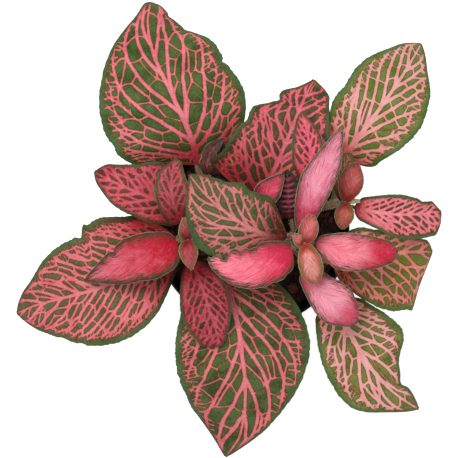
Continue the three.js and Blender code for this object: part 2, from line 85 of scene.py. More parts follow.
class Graph:
    """The node tree of one material, built step by step."""

    MIX_SOCKETS = (0, 6, 7)

    def __init__(self, name: str) -> None:
        """Starts a material with only a Principled shader.

        Args:
            name: the material's name.
        """
        self.material = bpy.data.materials.new(name)
        self.material.use_nodes = True
        self.nodes = self.material.node_tree.nodes
        self.shader = self.nodes["Principled BSDF"]

    def add(self, kind: str, inputs: dict | None = None, **settings: object) -> bpy.types.Node:
        """Adds a node.

        Args:
            kind: the node's type name, without its ShaderNode prefix.
            inputs: sockets by name or number, each a constant or another node's output.
            settings: the node's own settings.

        Returns:
            The node.
        """
        node = self.nodes.new("ShaderNode" + kind)
        for key, value in settings.items():
            setattr(node, key, value)
        for key, value in (inputs or {}).items():
            self.feed(node.inputs[key], value)
        return node

    def feed(self, socket: bpy.types.NodeSocket, value: object) -> None:
        """Links an output to a socket, or sets the socket's constant.

        Args:
            socket: the socket to fill.
            value: another node's output, or a constant.
        """
        if isinstance(value, bpy.types.NodeSocket):
            self.material.node_tree.links.new(value, socket)
        else:
            socket.default_value = value

    def attribute(self, name: str) -> bpy.types.NodeSocket:
        """The mesh attribute of that name, as a number."""
        return self.add("Attribute", attribute_name=name).outputs["Fac"]

    def place(self) -> bpy.types.NodeSocket:
        """The point's place in the object, in metres."""
        return self.add("TexCoord").outputs["Object"]

    def stretch(self, vector: object, scale: Triple, shift: Triple = (0, 0, 0)) -> bpy.types.NodeSocket:
        """A vector scaled along each axis and shifted."""
        node = self.add("Mapping", {"Vector": vector, "Scale": scale, "Location": shift})
        return node.outputs["Vector"]

    def noise(self, vector: object, scale: float, detail: float = 2,
              rough: float = 0.5) -> bpy.types.NodeSocket:
        """Smooth noise of 0..1."""
        inputs = {"Vector": vector, "Scale": scale, "Detail": detail, "Roughness": rough}
        return self.add("TexNoise", inputs).outputs["Fac"]

    def math(self, operation: str, a: object, b: object, clamp: bool = False) -> bpy.types.NodeSocket:
        """A sum, product or other operation on two numbers."""
        node = self.add("Math", {0: a, 1: b}, operation=operation, use_clamp=clamp)
        return node.outputs[0]

    def plus(self, a: object, b: object) -> bpy.types.NodeSocket:
        """The sum of two numbers."""
        return self.math("ADD", a, b)

    def times(self, a: object, b: object) -> bpy.types.NodeSocket:
        """The product of two numbers."""
        return self.math("MULTIPLY", a, b)

    def swing(self, noise: object, reach: float) -> bpy.types.NodeSocket:
        """A noise of 0..1 as a swing about zero, as wide as reach in all."""
        return self.times(self.math("SUBTRACT", noise, 0.5), reach)

    def ramp(self, value: object, start: float, end: float, low: float = 0.0,
             high: float = 1.0) -> bpy.types.NodeSocket:
        """A smooth step from low at start to high at end."""
        inputs = {"Value": value, "From Min": start, "From Max": end, "To Min": low, "To Max": high}
        return self.add("MapRange", inputs, interpolation_type="SMOOTHSTEP").outputs["Result"]

    def mix(self, share: object, a: object, b: object, blend: str = "MIX") -> bpy.types.NodeSocket:
        """Colour a turned into colour b by a share of 0..1.

        Args:
            share: how much of b shows.
            a: an output, or a display colour of 0..255.
            b: an output, or a display colour of 0..255.
            blend: how b is laid over a.

        Returns:
            The mixed colour.
        """
        node = self.add("Mix", data_type="RGBA", blend_type=blend)
        for index, value in zip(self.MIX_SOCKETS, (share, a, b)):
            self.feed(node.inputs[index], linear(value) if isinstance(value, tuple) else value)
        return node.outputs[2]

    def bump(self, height: object, distance: float, strength: float) -> bpy.types.NodeSocket:
        """A normal bent by a height."""
        return self.add("Bump", {"Height": height, "Distance": distance,
                                 "Strength": strength}).outputs["Normal"]

    def finish(self, colour: object, normal: object = None, **constants: float) -> bpy.types.Material:
        """Wires the shader.

        Args:
            colour: the base colour.
            normal: the bent normal.
            constants: other sockets, with words joined by underscores.

        Returns:
            The finished material.
        """
        self.feed(self.shader.inputs["Base Color"], colour)
        if normal is not None:
            self.feed(self.shader.inputs["Normal"], normal)
        for key, value in constants.items():
            name = "Specular IOR Level" if key == "specular" else key.replace("_", " ").title()
            self.feed(self.shader.inputs[name], value)
        return self.material


@dataclass(frozen=True)
class NetFinish:
    """The upper face of a leaf whose green shows between a net of coloured veins.

    The net turns from base, at the petiole, to vein, and thin is the colour of its hair-thin links.
    The cells between are green and deep, with edge painted along the veins' flanks as the shadow of
    the raised veins, and a margin at the rim. vein_highlight is how far the heart of a vein is paled
    as a painted highlight, dusk the share of the leaf, from its base, that painted shade reaches.
    """

    name: str
    vein: Colour
    base: Colour
    green: Colour = (74, 112, 64)
    deep: Colour = (46, 84, 34)
    thin: Colour = (196, 118, 98)
    edge: Colour = (84, 46, 28)
    margin: Colour = (70, 98, 60)
    vein_highlight: float = 0.25
    dusk: float = 0.35
    shade: Colour = (205, 140, 128)

    def material(self) -> bpy.types.Material:
        """The veins follow the mesh's vein distance, and fade towards its rim.

        Returns:
            The material.
        """
        g = Graph("leaf_" + self.name)
        place = g.place()
        vein, rank = g.attribute("vein"), g.attribute("rank")
        rim, along = g.attribute("rim"), g.attribute("along")
        grain = g.noise(place, 1300, 4, 0.7)
        blotch = g.noise(place, 420, 3)
        cloud = g.noise(place, 130, 2)
        wander = g.swing(blotch, 0.34)
        edge = g.plus(vein, wander)
        inside, flank_shadow, heart = g.ramp(edge, 0.16, -0.10), g.ramp(edge, 0.5, 0.12), g.ramp(vein, -0.1, -0.7)
        leaf = g.mix(g.ramp(cloud, 0.35, 0.7), self.green, self.deep)
        leaf = g.mix(g.ramp(grain, 0.5, 0.7, 0, 0.45), leaf, paler(self.green, 0.18))
        leaf = g.mix(g.ramp(grain, 0.48, 0.34, 0, 0.55), leaf, darker(self.deep, 0.6, 0.6, 0.35))
        leaf = g.mix(g.ramp(rim, 2.6, 0.6, 0, 0.75), leaf, self.margin)
        leaf = g.mix(g.ramp(along, 0.35, 0.0, 0, 0.55), leaf, darker(self.deep, 0.6, 0.6, 0.6))
        # painted shadow: the edge colour darkens the green along the flanks of the veins
        leaf = g.mix(g.times(flank_shadow, g.ramp(blotch, 0.35, 0.6, 0.35, 0.85)), leaf, self.edge)
        # painted highlight: the heart of each vein is paled towards this colour; specks of it are strewn
        # over the veins too
        light = paler(self.vein, 0.5)
        strand = g.mix(g.times(heart, self.vein_highlight), self.vein, light)
        strand = g.mix(g.ramp(along, 0.34, 0.02), strand, self.base)
        strand = g.mix(g.ramp(cloud, 0.4, 0.75, 0, 0.5), strand, self.base)
        strand = g.mix(g.ramp(grain, 0.53, 0.68, 0, 0.38), strand, light)
        strand = g.mix(g.ramp(grain, 0.48, 0.34, 0, 0.35), strand, self.base)
        strand = g.mix(g.ramp(rank, 1.05, 1.7), strand, self.thin)
        fading = g.ramp(g.plus(rim, wander), 0.5, 2.6, 0.12, 1.0)
        colour = g.mix(g.times(inside, fading), leaf, strand)
        dusk = g.ramp(g.plus(along, g.swing(cloud, 0.5)), self.dusk, 0.0, 0, 0.75)
        colour = g.mix(dusk, colour, self.shade, "MULTIPLY")
        relief = g.plus(g.times(grain, 0.25), g.ramp(vein, -0.3, 1.0))
        return g.finish(colour, g.bump(relief, 0.00022, 0.55), roughness=0.5, specular=0.08)


@dataclass(frozen=True)
class FlushFinish:
    """The upper face of a young leaf, pink all over but for streaks and a ragged green margin.

    The pale pink turns deep from the base up to the share root, from the share end to the tip, and
    near the rim from the amount flush by the amount brim. Streaks of slit reach in from the rim with
    the strength dash. margin is the green band, band times its usual breadth, and rimming its edge.
    """

    name: str
    pale: Colour
    deep: Colour
    slit: Colour = (92, 30, 40)
    margin: Colour = (50, 62, 40)
    rimming: Colour = (146, 150, 116)
    root: float = 0.4
    end: float = 1.0
    brim: float = 0.3
    flush: float = 0.0
    dash: float = 0.7
    band: float = 1.4

    def material(self) -> bpy.types.Material:
        """Streaks follow the flow map, which runs out from the midrib along the side veins.

        Returns:
            The material.
        """
        g = Graph("leaf_" + self.name)
        flow = g.add("UVMap", uv_map="flow").outputs["UV"]
        place = g.place()
        rim, along = g.attribute("rim"), g.attribute("along")
        fine = g.noise(g.stretch(flow, (0.1, 1.05, 1)), 1.0, 4, 0.6)
        teeth = g.noise(g.stretch(flow, (0.22, 1.15, 1), (5, 3, 0)), 1.0, 2, 0.5)
        cloud = g.noise(place, 170, 3)
        mottle = g.noise(place, 800, 4, 0.7)
        red = g.plus(g.ramp(along, self.root, 0.0), g.ramp(along, self.end, self.end + 0.35))
        red = g.plus(red, g.ramp(rim, 3.2, 0.8, self.flush, self.flush + self.brim))
        red = g.plus(red, g.swing(cloud, 1.2))
        red = g.math("ADD", red, g.swing(mottle, 1.1), clamp=True)
        calm = g.times(g.math("SUBTRACT", 1.0, g.times(red, 0.75)), g.ramp(along, 0.02, 0.15))
        light = paler(self.pale, 0.45)
        pink = g.mix(red, self.pale, self.deep)
        pink = g.mix(g.times(g.ramp(fine, 0.54, 0.70, 0, 0.5), calm), pink, light)
        pink = g.mix(g.times(g.ramp(mottle, 0.55, 0.68, 0, 0.6), calm), pink, light)
        pink = g.mix(g.ramp(fine, 0.48, 0.36, 0, 0.75), pink, self.deep)
        pink = g.mix(g.times(g.ramp(teeth, 0.52, 0.44), g.ramp(rim, 5.5, 1.4, 0, self.dash)), pink,
                     self.slit)
        width = g.plus(rim, g.swing(teeth, 7.0 * self.band))
        colour = g.mix(g.ramp(width, 1.3 * self.band, 0.6 * self.band), pink, self.margin)
        colour = g.mix(g.ramp(g.plus(rim, g.times(mottle, 0.3)), 0.42, 0.24), colour, self.rimming)
        relief = g.plus(g.times(fine, 0.8), g.times(mottle, 0.5))
        return g.finish(colour, g.bump(relief, 0.0005, 0.6), roughness=0.45, specular=0.1)


@dataclass(frozen=True)
class BackFinish:
    """The lower face of a leaf: pale, dull, with the net standing out."""

    name: str = "leaf_underside"
    web: Colour = (128, 144, 112)
    fade: Colour = (142, 132, 124)
    rib: Colour = (196, 164, 158)

    def material(self) -> bpy.types.Material:
        """The same net as on the upper face, paler and raised.

        Returns:
            The material.
        """
        g = Graph(self.name)
        vein = g.attribute("vein")
        grain = g.noise(g.place(), 900, 3)
        web = g.mix(g.ramp(grain, 0.3, 0.75), self.web, self.fade)
        colour = g.mix(g.ramp(vein, 0.35, -0.25), web, self.rib)
        relief = g.plus(g.ramp(vein, 0.6, -0.5), g.times(grain, 0.2))
        return g.finish(colour, g.bump(relief, 0.0004, 0.7), roughness=0.7, specular=0.2)


@dataclass(frozen=True)
class StalkFinish:
    """Stems, petioles, their hairs and the leaves' rims."""

    name: str
    green: Colour
    flush: Colour
    ridge: Colour = (214, 206, 178)

    def material(self) -> bpy.types.Material:
        """A pale green that flushes pink in patches, finely ridged along its length.

        Returns:
            The material.
        """
        g = Graph(self.name)
        place = g.place()
        cloud = g.noise(place, 160, 2)
        ridge = g.noise(g.stretch(place, (2400, 2400, 260)), 1.0, 2)
        colour = g.mix(g.ramp(cloud, 0.38, 0.7), self.green, self.flush)
        colour = g.mix(g.ramp(ridge, 0.5, 0.8, 0, 0.3), colour, self.ridge)
        return g.finish(colour, g.bump(ridge, 0.0003, 0.6), roughness=0.55, specular=0.3)


@dataclass(frozen=True)
class PeatFinish:
    """Damp peat, or the bark chips in it."""

    name: str
    dark: Colour
    light: Colour
    shine: float
    fibre: Colour = (128, 84, 62)

    def material(self) -> bpy.types.Material:
        """Fibrous crumbs in two browns.

        Returns:
            The material.
        """
        g = Graph(self.name)
        place = g.place()
        crumb = g.noise(place, 520, 5, 0.65)
        fibre = g.noise(g.stretch(place, (900, 260, 900)), 1.0, 4, 0.7)
        colour = g.mix(g.ramp(crumb, 0.38, 0.72), self.dark, self.light)
        colour = g.mix(g.ramp(fibre, 0.62, 0.8, 0, 0.5), colour, self.fibre)
        relief = g.plus(crumb, g.times(fibre, 0.5))
        return g.finish(colour, g.bump(relief, 0.0012, 0.9), roughness=self.shine, specular=0.3)


@dataclass(frozen=True)
class PlasticFinish:
    """The thin black moulding of the pot."""

    name: str = "pot_plastic"
    body: Colour = (17, 17, 18)
    dust: Colour = (62, 60, 58)
    scuff: Colour = (92, 88, 84)

    def material(self) -> bpy.types.Material:
        """Satin black with flow marks down the wall, dust and light scuffs.

        Returns:
            The material.
        """
        g = Graph(self.name)
        place = g.place()
        marks = g.noise(g.stretch(place, (420, 420, 18)), 1.0, 3)
        dust = g.noise(place, 75, 5, 0.7)
        rub = g.noise(g.stretch(place, (60, 60, 900)), 1.0, 4, 0.7)
        colour = g.mix(g.ramp(dust, 0.5, 0.78, 0, 0.35), self.body, self.dust)
        colour = g.mix(g.ramp(rub, 0.66, 0.8, 0, 0.4), colour, self.scuff)
        rough = g.ramp(dust, 0.35, 0.75, 0.3, 0.55)
        relief = g.plus(g.times(marks, 0.7), g.times(dust, 0.2))
        return g.finish(colour, g.bump(relief, 0.0003, 0.35), roughness=rough, specular=0.3)


@dataclass(frozen=True)
class FloorFinish:
    """The plain pale ground that the plant stands on."""

    shade: Colour = (250, 250, 250)
    glow: float = 0.6

    def material(self) -> bpy.types.Material:
        """Matte near-white.

        Returns:
            The material.
        """
        g = Graph("pale_floor")
        g.feed(g.shader.inputs["Emission Color"], (1, 1, 1, 1))
        return g.finish(linear(self.shade), roughness=0.9, specular=0.1, emission_strength=self.glow)


class Palette:
    """Makes each finish's material once."""

    def __init__(self) -> None:
        """Starts empty."""
        self.made: dict[str, bpy.types.Material] = {}

    def of(self, finish: object) -> bpy.types.Material:
        """The material of a finish.

        Args:
            finish: one of the finishes above.

        Returns:
            Its material, made at the first call.
        """
        key = repr(finish)
        if key not in self.made:
            self.made[key] = finish.material()
        return self.made[key]


# Help for meshes


class Slot(Enum):
    """The record's material slots."""

    POT = "pot"
    SOIL = "soil"
    STEM = "stem"
    GREEN = "leaf_green"
    PINK = "leaf_pink"


def to_mesh(bm: bmesh.types.BMesh, name: str) -> bpy.types.Mesh:
    """Turns a bmesh into a mesh and frees it.

    Args:
        bm: the bmesh.
        name: the mesh's name.

    Returns:
        The mesh.
    """
    mesh = bpy.data.meshes.new(name)
    bm.to_mesh(mesh)
    bm.free()
    return mesh


def put(name: str, data: bpy.types.ID) -> bpy.types.Object:
    """Adds an object to the scene.

    Args:
        name: the object's name.
        data: its mesh, lamp or camera.

    Returns:
        The object, at the origin.
    """
    made = bpy.data.objects.new(name, data)
    bpy.context.scene.collection.objects.link(made)
    return made


def to_object(bm: bmesh.types.BMesh, name: str, nodes: list[str],
              materials: list) -> bpy.types.Object:
    """Turns a bmesh into a piece that rides on the pot's body.

    Args:
        bm: the mesh, in metres; it is freed.
        name: the piece's name.
        nodes: the CAD nodes that the piece stands for.
        materials: the piece's materials, in the order of its faces' slots.

    Returns:
        The object, at the origin.
    """
    mesh = to_mesh(bm, name)
    piece = put(name, mesh)
    for material in materials:
        mesh.materials.append(material)
    mesh.shade_smooth()
    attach(piece, "root")
    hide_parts(*nodes)
    log.info("%s: %d faces", name, len(mesh.polygons))
    return piece


def spun(outline: list[tuple[float, float]], steps: int, merge: float) -> bmesh.types.BMesh:
    """A solid of revolution about the upright axis.

    Args:
        outline: radii and heights from the axis round and back to it, in millimetres.
        steps: the number of its segments.
        merge: the distance within which its points are joined, in metres.

    Returns:
        The mesh, in metres.
    """
    bm = bmesh.new()
    verts = [bm.verts.new((radius * MM, 0, height * MM)) for radius, height in outline]
    edges = [bm.edges.new(pair) for pair in zip(verts, verts[1:])]
    bmesh.ops.spin(bm, geom=verts + edges, cent=(0, 0, 0), axis=(0, 0, 1), dvec=(0, 0, 0),
                   angle=2 * math.pi, steps=steps, use_merge=True, use_duplicate=False)
    bmesh.ops.remove_doubles(bm, verts=bm.verts, dist=merge)
    return bm


def frames(points: np.ndarray) -> tuple[np.ndarray, np.ndarray]:
    """Two directions across a way at each of its points.

    Args:
        points: the way's points, one a row.

    Returns:
        The side and the up direction at each point, unit length.
    """
    forward = np.gradient(points, axis=0)
    forward /= np.linalg.norm(forward, axis=1, keepdims=True)
    steep = np.abs(forward[:, 2:]) > 0.9
    side = np.cross(np.where(steep, [[0.0, 1.0, 0.0]], [[0.0, 0.0, 1.0]]), forward)
    side /= np.linalg.norm(side, axis=1, keepdims=True)
    for i in range(1, len(side)):
        side[i] = side[i - 1] - (side[i - 1] @ forward[i]) * forward[i]
        side[i] /= np.linalg.norm(side[i])
    return side, np.cross(forward, side)


def add_tube(bm: bmesh.types.BMesh, points: np.ndarray, radii: np.ndarray, sides: int) -> None:
    """A closed tube along a way, rounded off by its radii.

    Args:
        bm: the mesh that it joins.
        points: the way's points, in metres.
        radii: the tube's radius at each point, in metres.
        sides: the number of its sides.
    """
    side, up = frames(points)
    ring = bmesh.ops.create_circle(bm, cap_ends=True, radius=1, segments=sides)["verts"]
    angles = [2 * math.pi * k / sides for k in range(sides)]

    def settle(verts: list, i: int) -> None:
        """Lays a ring of points round the way's point i."""
        for vert, angle in zip(verts, angles):
            offset = side[i] * math.cos(angle) + up[i] * math.sin(angle)
            vert.co = Vector(points[i] + radii[i] * offset)

    settle(ring, 0)
    faces = [ring[0].link_faces[0]]
    edges = [bm.edges.get((ring[k], ring[(k + 1) % sides])) for k in range(sides)]
    for i in range(1, len(points)):
        made = bmesh.ops.extrude_edge_only(bm, edges=edges)["geom"]
        verts = [g for g in made if isinstance(g, bmesh.types.BMVert)]
        faces += [g for g in made if isinstance(g, bmesh.types.BMFace)]
        old = set(ring)
        follow = {e.other_vert(v): v for v in verts for e in v.link_edges if e.other_vert(v) in old}
        ring = [follow[v] for v in ring]
        settle(ring, i)
        edges = [bm.edges.get((ring[k], ring[(k + 1) % sides])) for k in range(sides)]
    faces += bmesh.ops.contextual_create(bm, geom=edges)["faces"]
    bmesh.ops.recalc_face_normals(bm, faces=faces)


HAIR_ROOT, HAIR_TIP = 0.00007, 0.00002
HAIR_MATERIAL = 1


def add_hairs(bm: bmesh.types.BMesh, points: np.ndarray, radii: np.ndarray, count: int, length: float,
              rng: np.random.Generator) -> None:
    """Short stiff hairs that stand out from a tube.

    Args:
        bm: the mesh that they join.
        points: the tube's way, in metres.
        radii: the tube's radius at each point.
        count: the number of hairs.
        length: their usual length, in metres.
        rng: the source of their places.
    """
    side, up = frames(points)
    for _ in range(count):
        at = rng.uniform(0, len(points) - 1.001)
        i, share = int(at), at - int(at)
        angle = rng.uniform(0, 2 * math.pi)
        out = side[i] * math.cos(angle) + up[i] * math.sin(angle)
        lean = Vector(out + 0.35 * (points[i + 1] - points[i]) / np.linalg.norm(points[i + 1] - points[i]))
        long = length * rng.uniform(0.6, 1.3)
        foot = Vector(points[i] * (1 - share) + points[i + 1] * share + out * radii[i] * 0.9)
        turn = lean.to_track_quat("Z", "Y").to_matrix().to_4x4()
        matrix = Matrix.Translation(foot + lean.normalized() * long / 2) @ turn
        hair = bmesh.ops.create_cone(bm, cap_ends=True, segments=3, radius1=HAIR_ROOT, radius2=HAIR_TIP,
                                     depth=long, matrix=matrix)
        for face in {f for v in hair["verts"] for f in v.link_faces}:
            face.material_index = HAIR_MATERIAL


# The shape of a leaf and its net


@dataclass(frozen=True)
class NetStyle:
    """How dense a leaf's net of veins is, in millimetres.

    gap and cell are the breadth and length of a cell, second the widths of the first and the last
    side vein, link that of the veins between cells, and rib the midrib's at four stations. thin is
    the share of hair-thin links, jitter and wander the irregularity of cells and of side veins. slim
    is how little a distance along a cell counts, reach the share across at which veins fade, blend
    how softly they join. fringe and hair are the spacing and width of the fine veins at the margin,
    and sweep bends side veins that aren't measured forward.
    """

    gap: float = 4.3
    cell: float = 8.4
    second: tuple[float, float] = (2.1, 1.6)
    link: float = 0.85
    thin: float = 0.4
    jitter: float = 0.2
    slim: float = 0.52
    wander: float = 0.002
    rib: tuple[float, ...] = (2.8, 2.2, 1.4, 0.7)
    reach: float = 0.86
    blend: float = 0.24
    fringe: float = 2.3
    sweep: float = 0.0
    hair: float = 0.34


OPEN = NetStyle(cell=10.5, fringe=3.4, hair=0.6)
BROAD = NetStyle(cell=8.0, second=(1.7, 1.4), link=0.9, thin=0.35, rib=(2.2, 1.9, 1.2, 0.6), reach=0.79,
                 hair=0.5)
DENSE = NetStyle(gap=2.8, cell=7.6, second=(1.75, 1.4), link=1.05, thin=0.12, rib=(2.4, 1.9, 1.3, 0.7),
                 blend=0.2, reach=0.84, slim=0.42, fringe=1.9)
CLOSE = NetStyle(gap=2.0, cell=5.0, second=(1.3, 1.1), link=1.1, thin=0.1, rib=(1.8, 1.4, 1.0, 0.6),
                 blend=0.2, reach=0.86, slim=0.45, jitter=0.24)
SLITS = NetStyle(gap=1.7, cell=5.2, second=(1.25, 1.1), link=1.0, thin=0.0, rib=(2.2, 1.7, 1.1, 0.6),
                 blend=0.16, reach=0.88, slim=0.35, jitter=0.24, sweep=1.0)
FINE = NetStyle(gap=1.1, cell=4.0, second=(0.5, 0.4), link=0.3, thin=0.3, rib=(0.8, 0.7, 0.5, 0.3),
                blend=0.1, reach=0.8, slim=0.3, sweep=0.6, fringe=1.2, hair=0.2)


@dataclass(frozen=True)
class Leaf:
    """One leaf: the driving values of its CAD row, and how its face is drawn.

    Sizes are in millimetres and degrees. stem and at are the shoot and the height that the leaf grows
    from. path holds four points of the midrib from the base to the tip, left and right the half-widths
    at five stations, notches (side, station, breadth, depth) of cuts into the margin, or of bulges
    where the depth is negative. rib moves the midrib's vein off the fold at four stations. veins are
    the side veins' stations at the midrib, half way and at the margin, and without them count side
    veins fan out. tip is how blunt the tip is.
    """

    name: str
    stem: str
    at: float
    path: tuple[Triple, ...]
    left: tuple[float, ...]
    right: tuple[float, ...]
    fold: tuple[float, float]
    curl: float
    wave: tuple[float, int]
    finish: object
    style: NetStyle = DENSE
    roll: tuple[float, float] = (0, 0)
    rib: tuple[float, ...] = (0, 0, 0, 0)
    veins: tuple[tuple[Triple, ...], tuple[Triple, ...]] | None = None
    notches: tuple[tuple[int, float, float, float], ...] = ()
    count: int = 6
    tip: float = 0.75

    @property
    def slot(self) -> Slot:
        """The record's material slot of the leaf."""
        return Slot.PINK if self.name in PINK_LEAVES else Slot.GREEN


WIDTH_STATIONS = np.array([0.1, 0.3, 0.5, 0.7, 0.9])
FIRST_STATION, LAST_STATION, STATION_STEP = 0.1, 0.9, 0.2
RIB_STATIONS = (0, 0.3, 0.5, 0.7, 0.9, 1)
VEIN_HALF_WAY, VEIN_END = 0.45, 0.9


def through(points: tuple[Triple, ...], t: np.ndarray) -> np.ndarray:
    """The curve through evenly spaced points, by Lagrange's rule.

    Args:
        points: what it passes, from its start to its end.
        t: shares of the way along it.

    Returns:
        Its points at those shares.
    """
    last = len(points) - 1
    at = np.zeros(np.shape(t) + (3,))
    for i, point in enumerate(points):
        weight = np.ones(np.shape(t))
        for j in range(last + 1):
            if j != i:
                weight = weight * (t * last - j) / (i - j)
        at += weight[..., None] * np.array(point, float)
    return at


def heading(points: tuple[Triple, ...], t: np.ndarray) -> np.ndarray:
    """Unit directions of the same curve."""
    step = through(points, t + 1e-3) - through(points, t - 1e-3)
    return step / np.linalg.norm(step, axis=-1, keepdims=True)


class Shape:
    """The blade's surface as a function of t, the share along the midrib, and c, the share across."""

    SMALLEST_HALF = 0.8
    SMALLEST_TRIMMED = 0.35
    BASE_ROUNDING = 0.55
    RIPPLE_WAVES = (1.45, 0.61, 3.3)
    RIPPLE, FINE_RIPPLE = 0.22, 0.05
    FULL_RIPPLE_HALF = 16

    def __init__(self, leaf: Leaf) -> None:
        """Measures the leaf.

        Args:
            leaf: the row that it follows.
        """
        self.leaf = leaf
        way = through(leaf.path, np.linspace(0, 1, 41))
        self.length = float(np.linalg.norm(np.diff(way, axis=0), axis=1).sum())

    def half(self, side: int, t: np.ndarray) -> np.ndarray:
        """The half-width of a side, rounded off at the base and the tip.

        Args:
            side: 0 for the left and 1 for the right.
            t: shares along the midrib.

        Returns:
            The half-widths there.
        """
        widths = np.array(self.leaf.right if side else self.leaf.left, float)
        last, end, step = len(widths) - 1, FIRST_STATION, STATION_STEP
        low, high = np.maximum(np.arange(last + 1) - 1, 0), np.minimum(np.arange(last + 1) + 1, last)
        slope = (widths[high] - widths[low]) / (WIDTH_STATIONS[high] - WIDTH_STATIONS[low])
        x = np.clip(t / end, 0, 1)
        base = widths[0] * np.sin(math.pi / 2 * x) ** self.BASE_ROUNDING + slope[0] * (t - end) * x
        x = np.clip((t - LAST_STATION) / end, 0, 1)
        taper = np.clip(np.cos(math.pi / 2 * x), 0, 1) ** self.leaf.tip
        tip = widths[last] * taper + slope[last] * (t - LAST_STATION) * (1 - x)
        i = np.clip(((t - end) / step).astype(int), 0, last - 1)
        x = (t - WIDTH_STATIONS[i]) / step
        a, b, f, g = widths[i], widths[i + 1], slope[i] * step, slope[i + 1] * step
        middle = a + x * f + x * x * (3 * (b - a) - 2 * f - g) + x**3 * (2 * (a - b) + f + g)
        made = np.where(t < end, base, np.where(t > LAST_STATION, tip, middle))
        return np.maximum(made, self.SMALLEST_HALF)

    def trimmed(self, side: int, t: np.ndarray) -> np.ndarray:
        """The half-width with its notches and the fine unevenness of a living margin.

        Args:
            side: 0 for the left and 1 for the right.
            t: shares along the midrib.

        Returns:
            The half-widths there.
        """
        half = self.half(side, t)
        cut = np.zeros_like(t)
        for where, station, breadth, depth in self.leaf.notches:
            if where == side:
                cut += depth * np.exp(-(((t - station) / breadth) ** 2))
        phase = 1.7 * side + 0.37 * len(self.leaf.name)
        wave, beat, short = (t * self.length * pace for pace in self.RIPPLE_WAVES)
        ripple, fine = np.sin(wave + phase) * np.sin(beat + 2 * phase), np.sin(short + 3 * phase)
        size = np.clip(half / self.FULL_RIPPLE_HALF, 0.15, 1)
        rippled = size * (self.RIPPLE * ripple + self.FINE_RIPPLE * fine) * np.sin(math.pi * t)
        return np.maximum(half - cut - rippled, self.SMALLEST_TRIMMED)

    def shift(self, t: np.ndarray) -> np.ndarray:
        """How far the midrib's vein lies to the right of the fold."""
        return np.interp(t, RIB_STATIONS, (0, *self.leaf.rib, 0))

    def surface(self, t: np.ndarray, c: np.ndarray, lift: np.ndarray | float = 0.0) -> np.ndarray:
        """Points of the blade's middle face.

        Args:
            t: shares along the midrib.
            c: shares across, -1 at the left margin and 1 at the right.
            lift: how far they are raised, in millimetres.

        Returns:
            The points, in millimetres.
        """
        leaf = self.leaf
        forward = heading(leaf.path, t)
        left = np.cross([0.0, 0.0, 1.0], forward)
        left /= np.linalg.norm(left, axis=-1, keepdims=True)
        roll = np.radians(leaf.roll[0] + (leaf.roll[1] - leaf.roll[0]) * t)[..., None]
        left = left * np.cos(roll) + np.cross(forward, left) * np.sin(roll)
        up = np.cross(forward, left)
        right = c >= 0
        half = np.where(right, self.trimmed(1, t), self.trimmed(0, t))
        share = np.abs(c)
        reach = share * half
        fold = np.radians(np.where(right, leaf.fold[1], leaf.fold[0]))
        wave = leaf.wave[0] * share**2 * np.sin(2 * math.pi * leaf.wave[1] * t + 2.4 * right)
        rise = reach * np.sin(fold) + leaf.curl * share * reach + wave * np.sin(math.pi * t)
        across = -np.sign(c) * reach * np.cos(fold)
        return through(leaf.path, t) + left * across[..., None] + up * (rise + lift)[..., None]


def bend(stations: Triple, c: np.ndarray) -> np.ndarray:
    """A side vein as a curve through its three stations.

    Args:
        stations: where it lies at the midrib, half way and at its end.
        c: shares across.

    Returns:
        Its stations there.
    """
    a = (stations[0] - 2 * stations[1] + stations[2]) / (2 * VEIN_HALF_WAY**2)
    b = (-3 * stations[0] + 4 * stations[1] - stations[2]) / VEIN_END
    return stations[0] + b * c + a * c * c


def fan(count: int, start: float = 0.03, end: float = 0.84, sweep: float = 0.0) -> tuple[Triple, ...]:
    """Side veins that sweep forward, for a leaf with no measured ones.

    Args:
        count: their number.
        start: the first one's station at the midrib.
        end: the last one's station at the midrib.
        sweep: how much further forward they bend than usual.

    Returns:
        The three stations of each.
    """
    made = []
    for t in np.linspace(start, end, count):
        middle, outer = 0.14 + 0.4 * t + 0.14 * sweep, 0.42 + 0.46 * t + 0.28 * sweep * (1 - t)
        made.append((t, t + (1 - t) * middle, t + (1 - t) * min(outer, 0.95)))
    return tuple(made)


@dataclass
class Patch:
    """The net between two side veins.

    Each seed is the heart of one green cell. widths and ranks are those of the vein between each two
    of them: rank 1 for a usual vein and 2 for a hair-thin one.
    """

    seeds: np.ndarray
    widths: np.ndarray
    ranks: np.ndarray


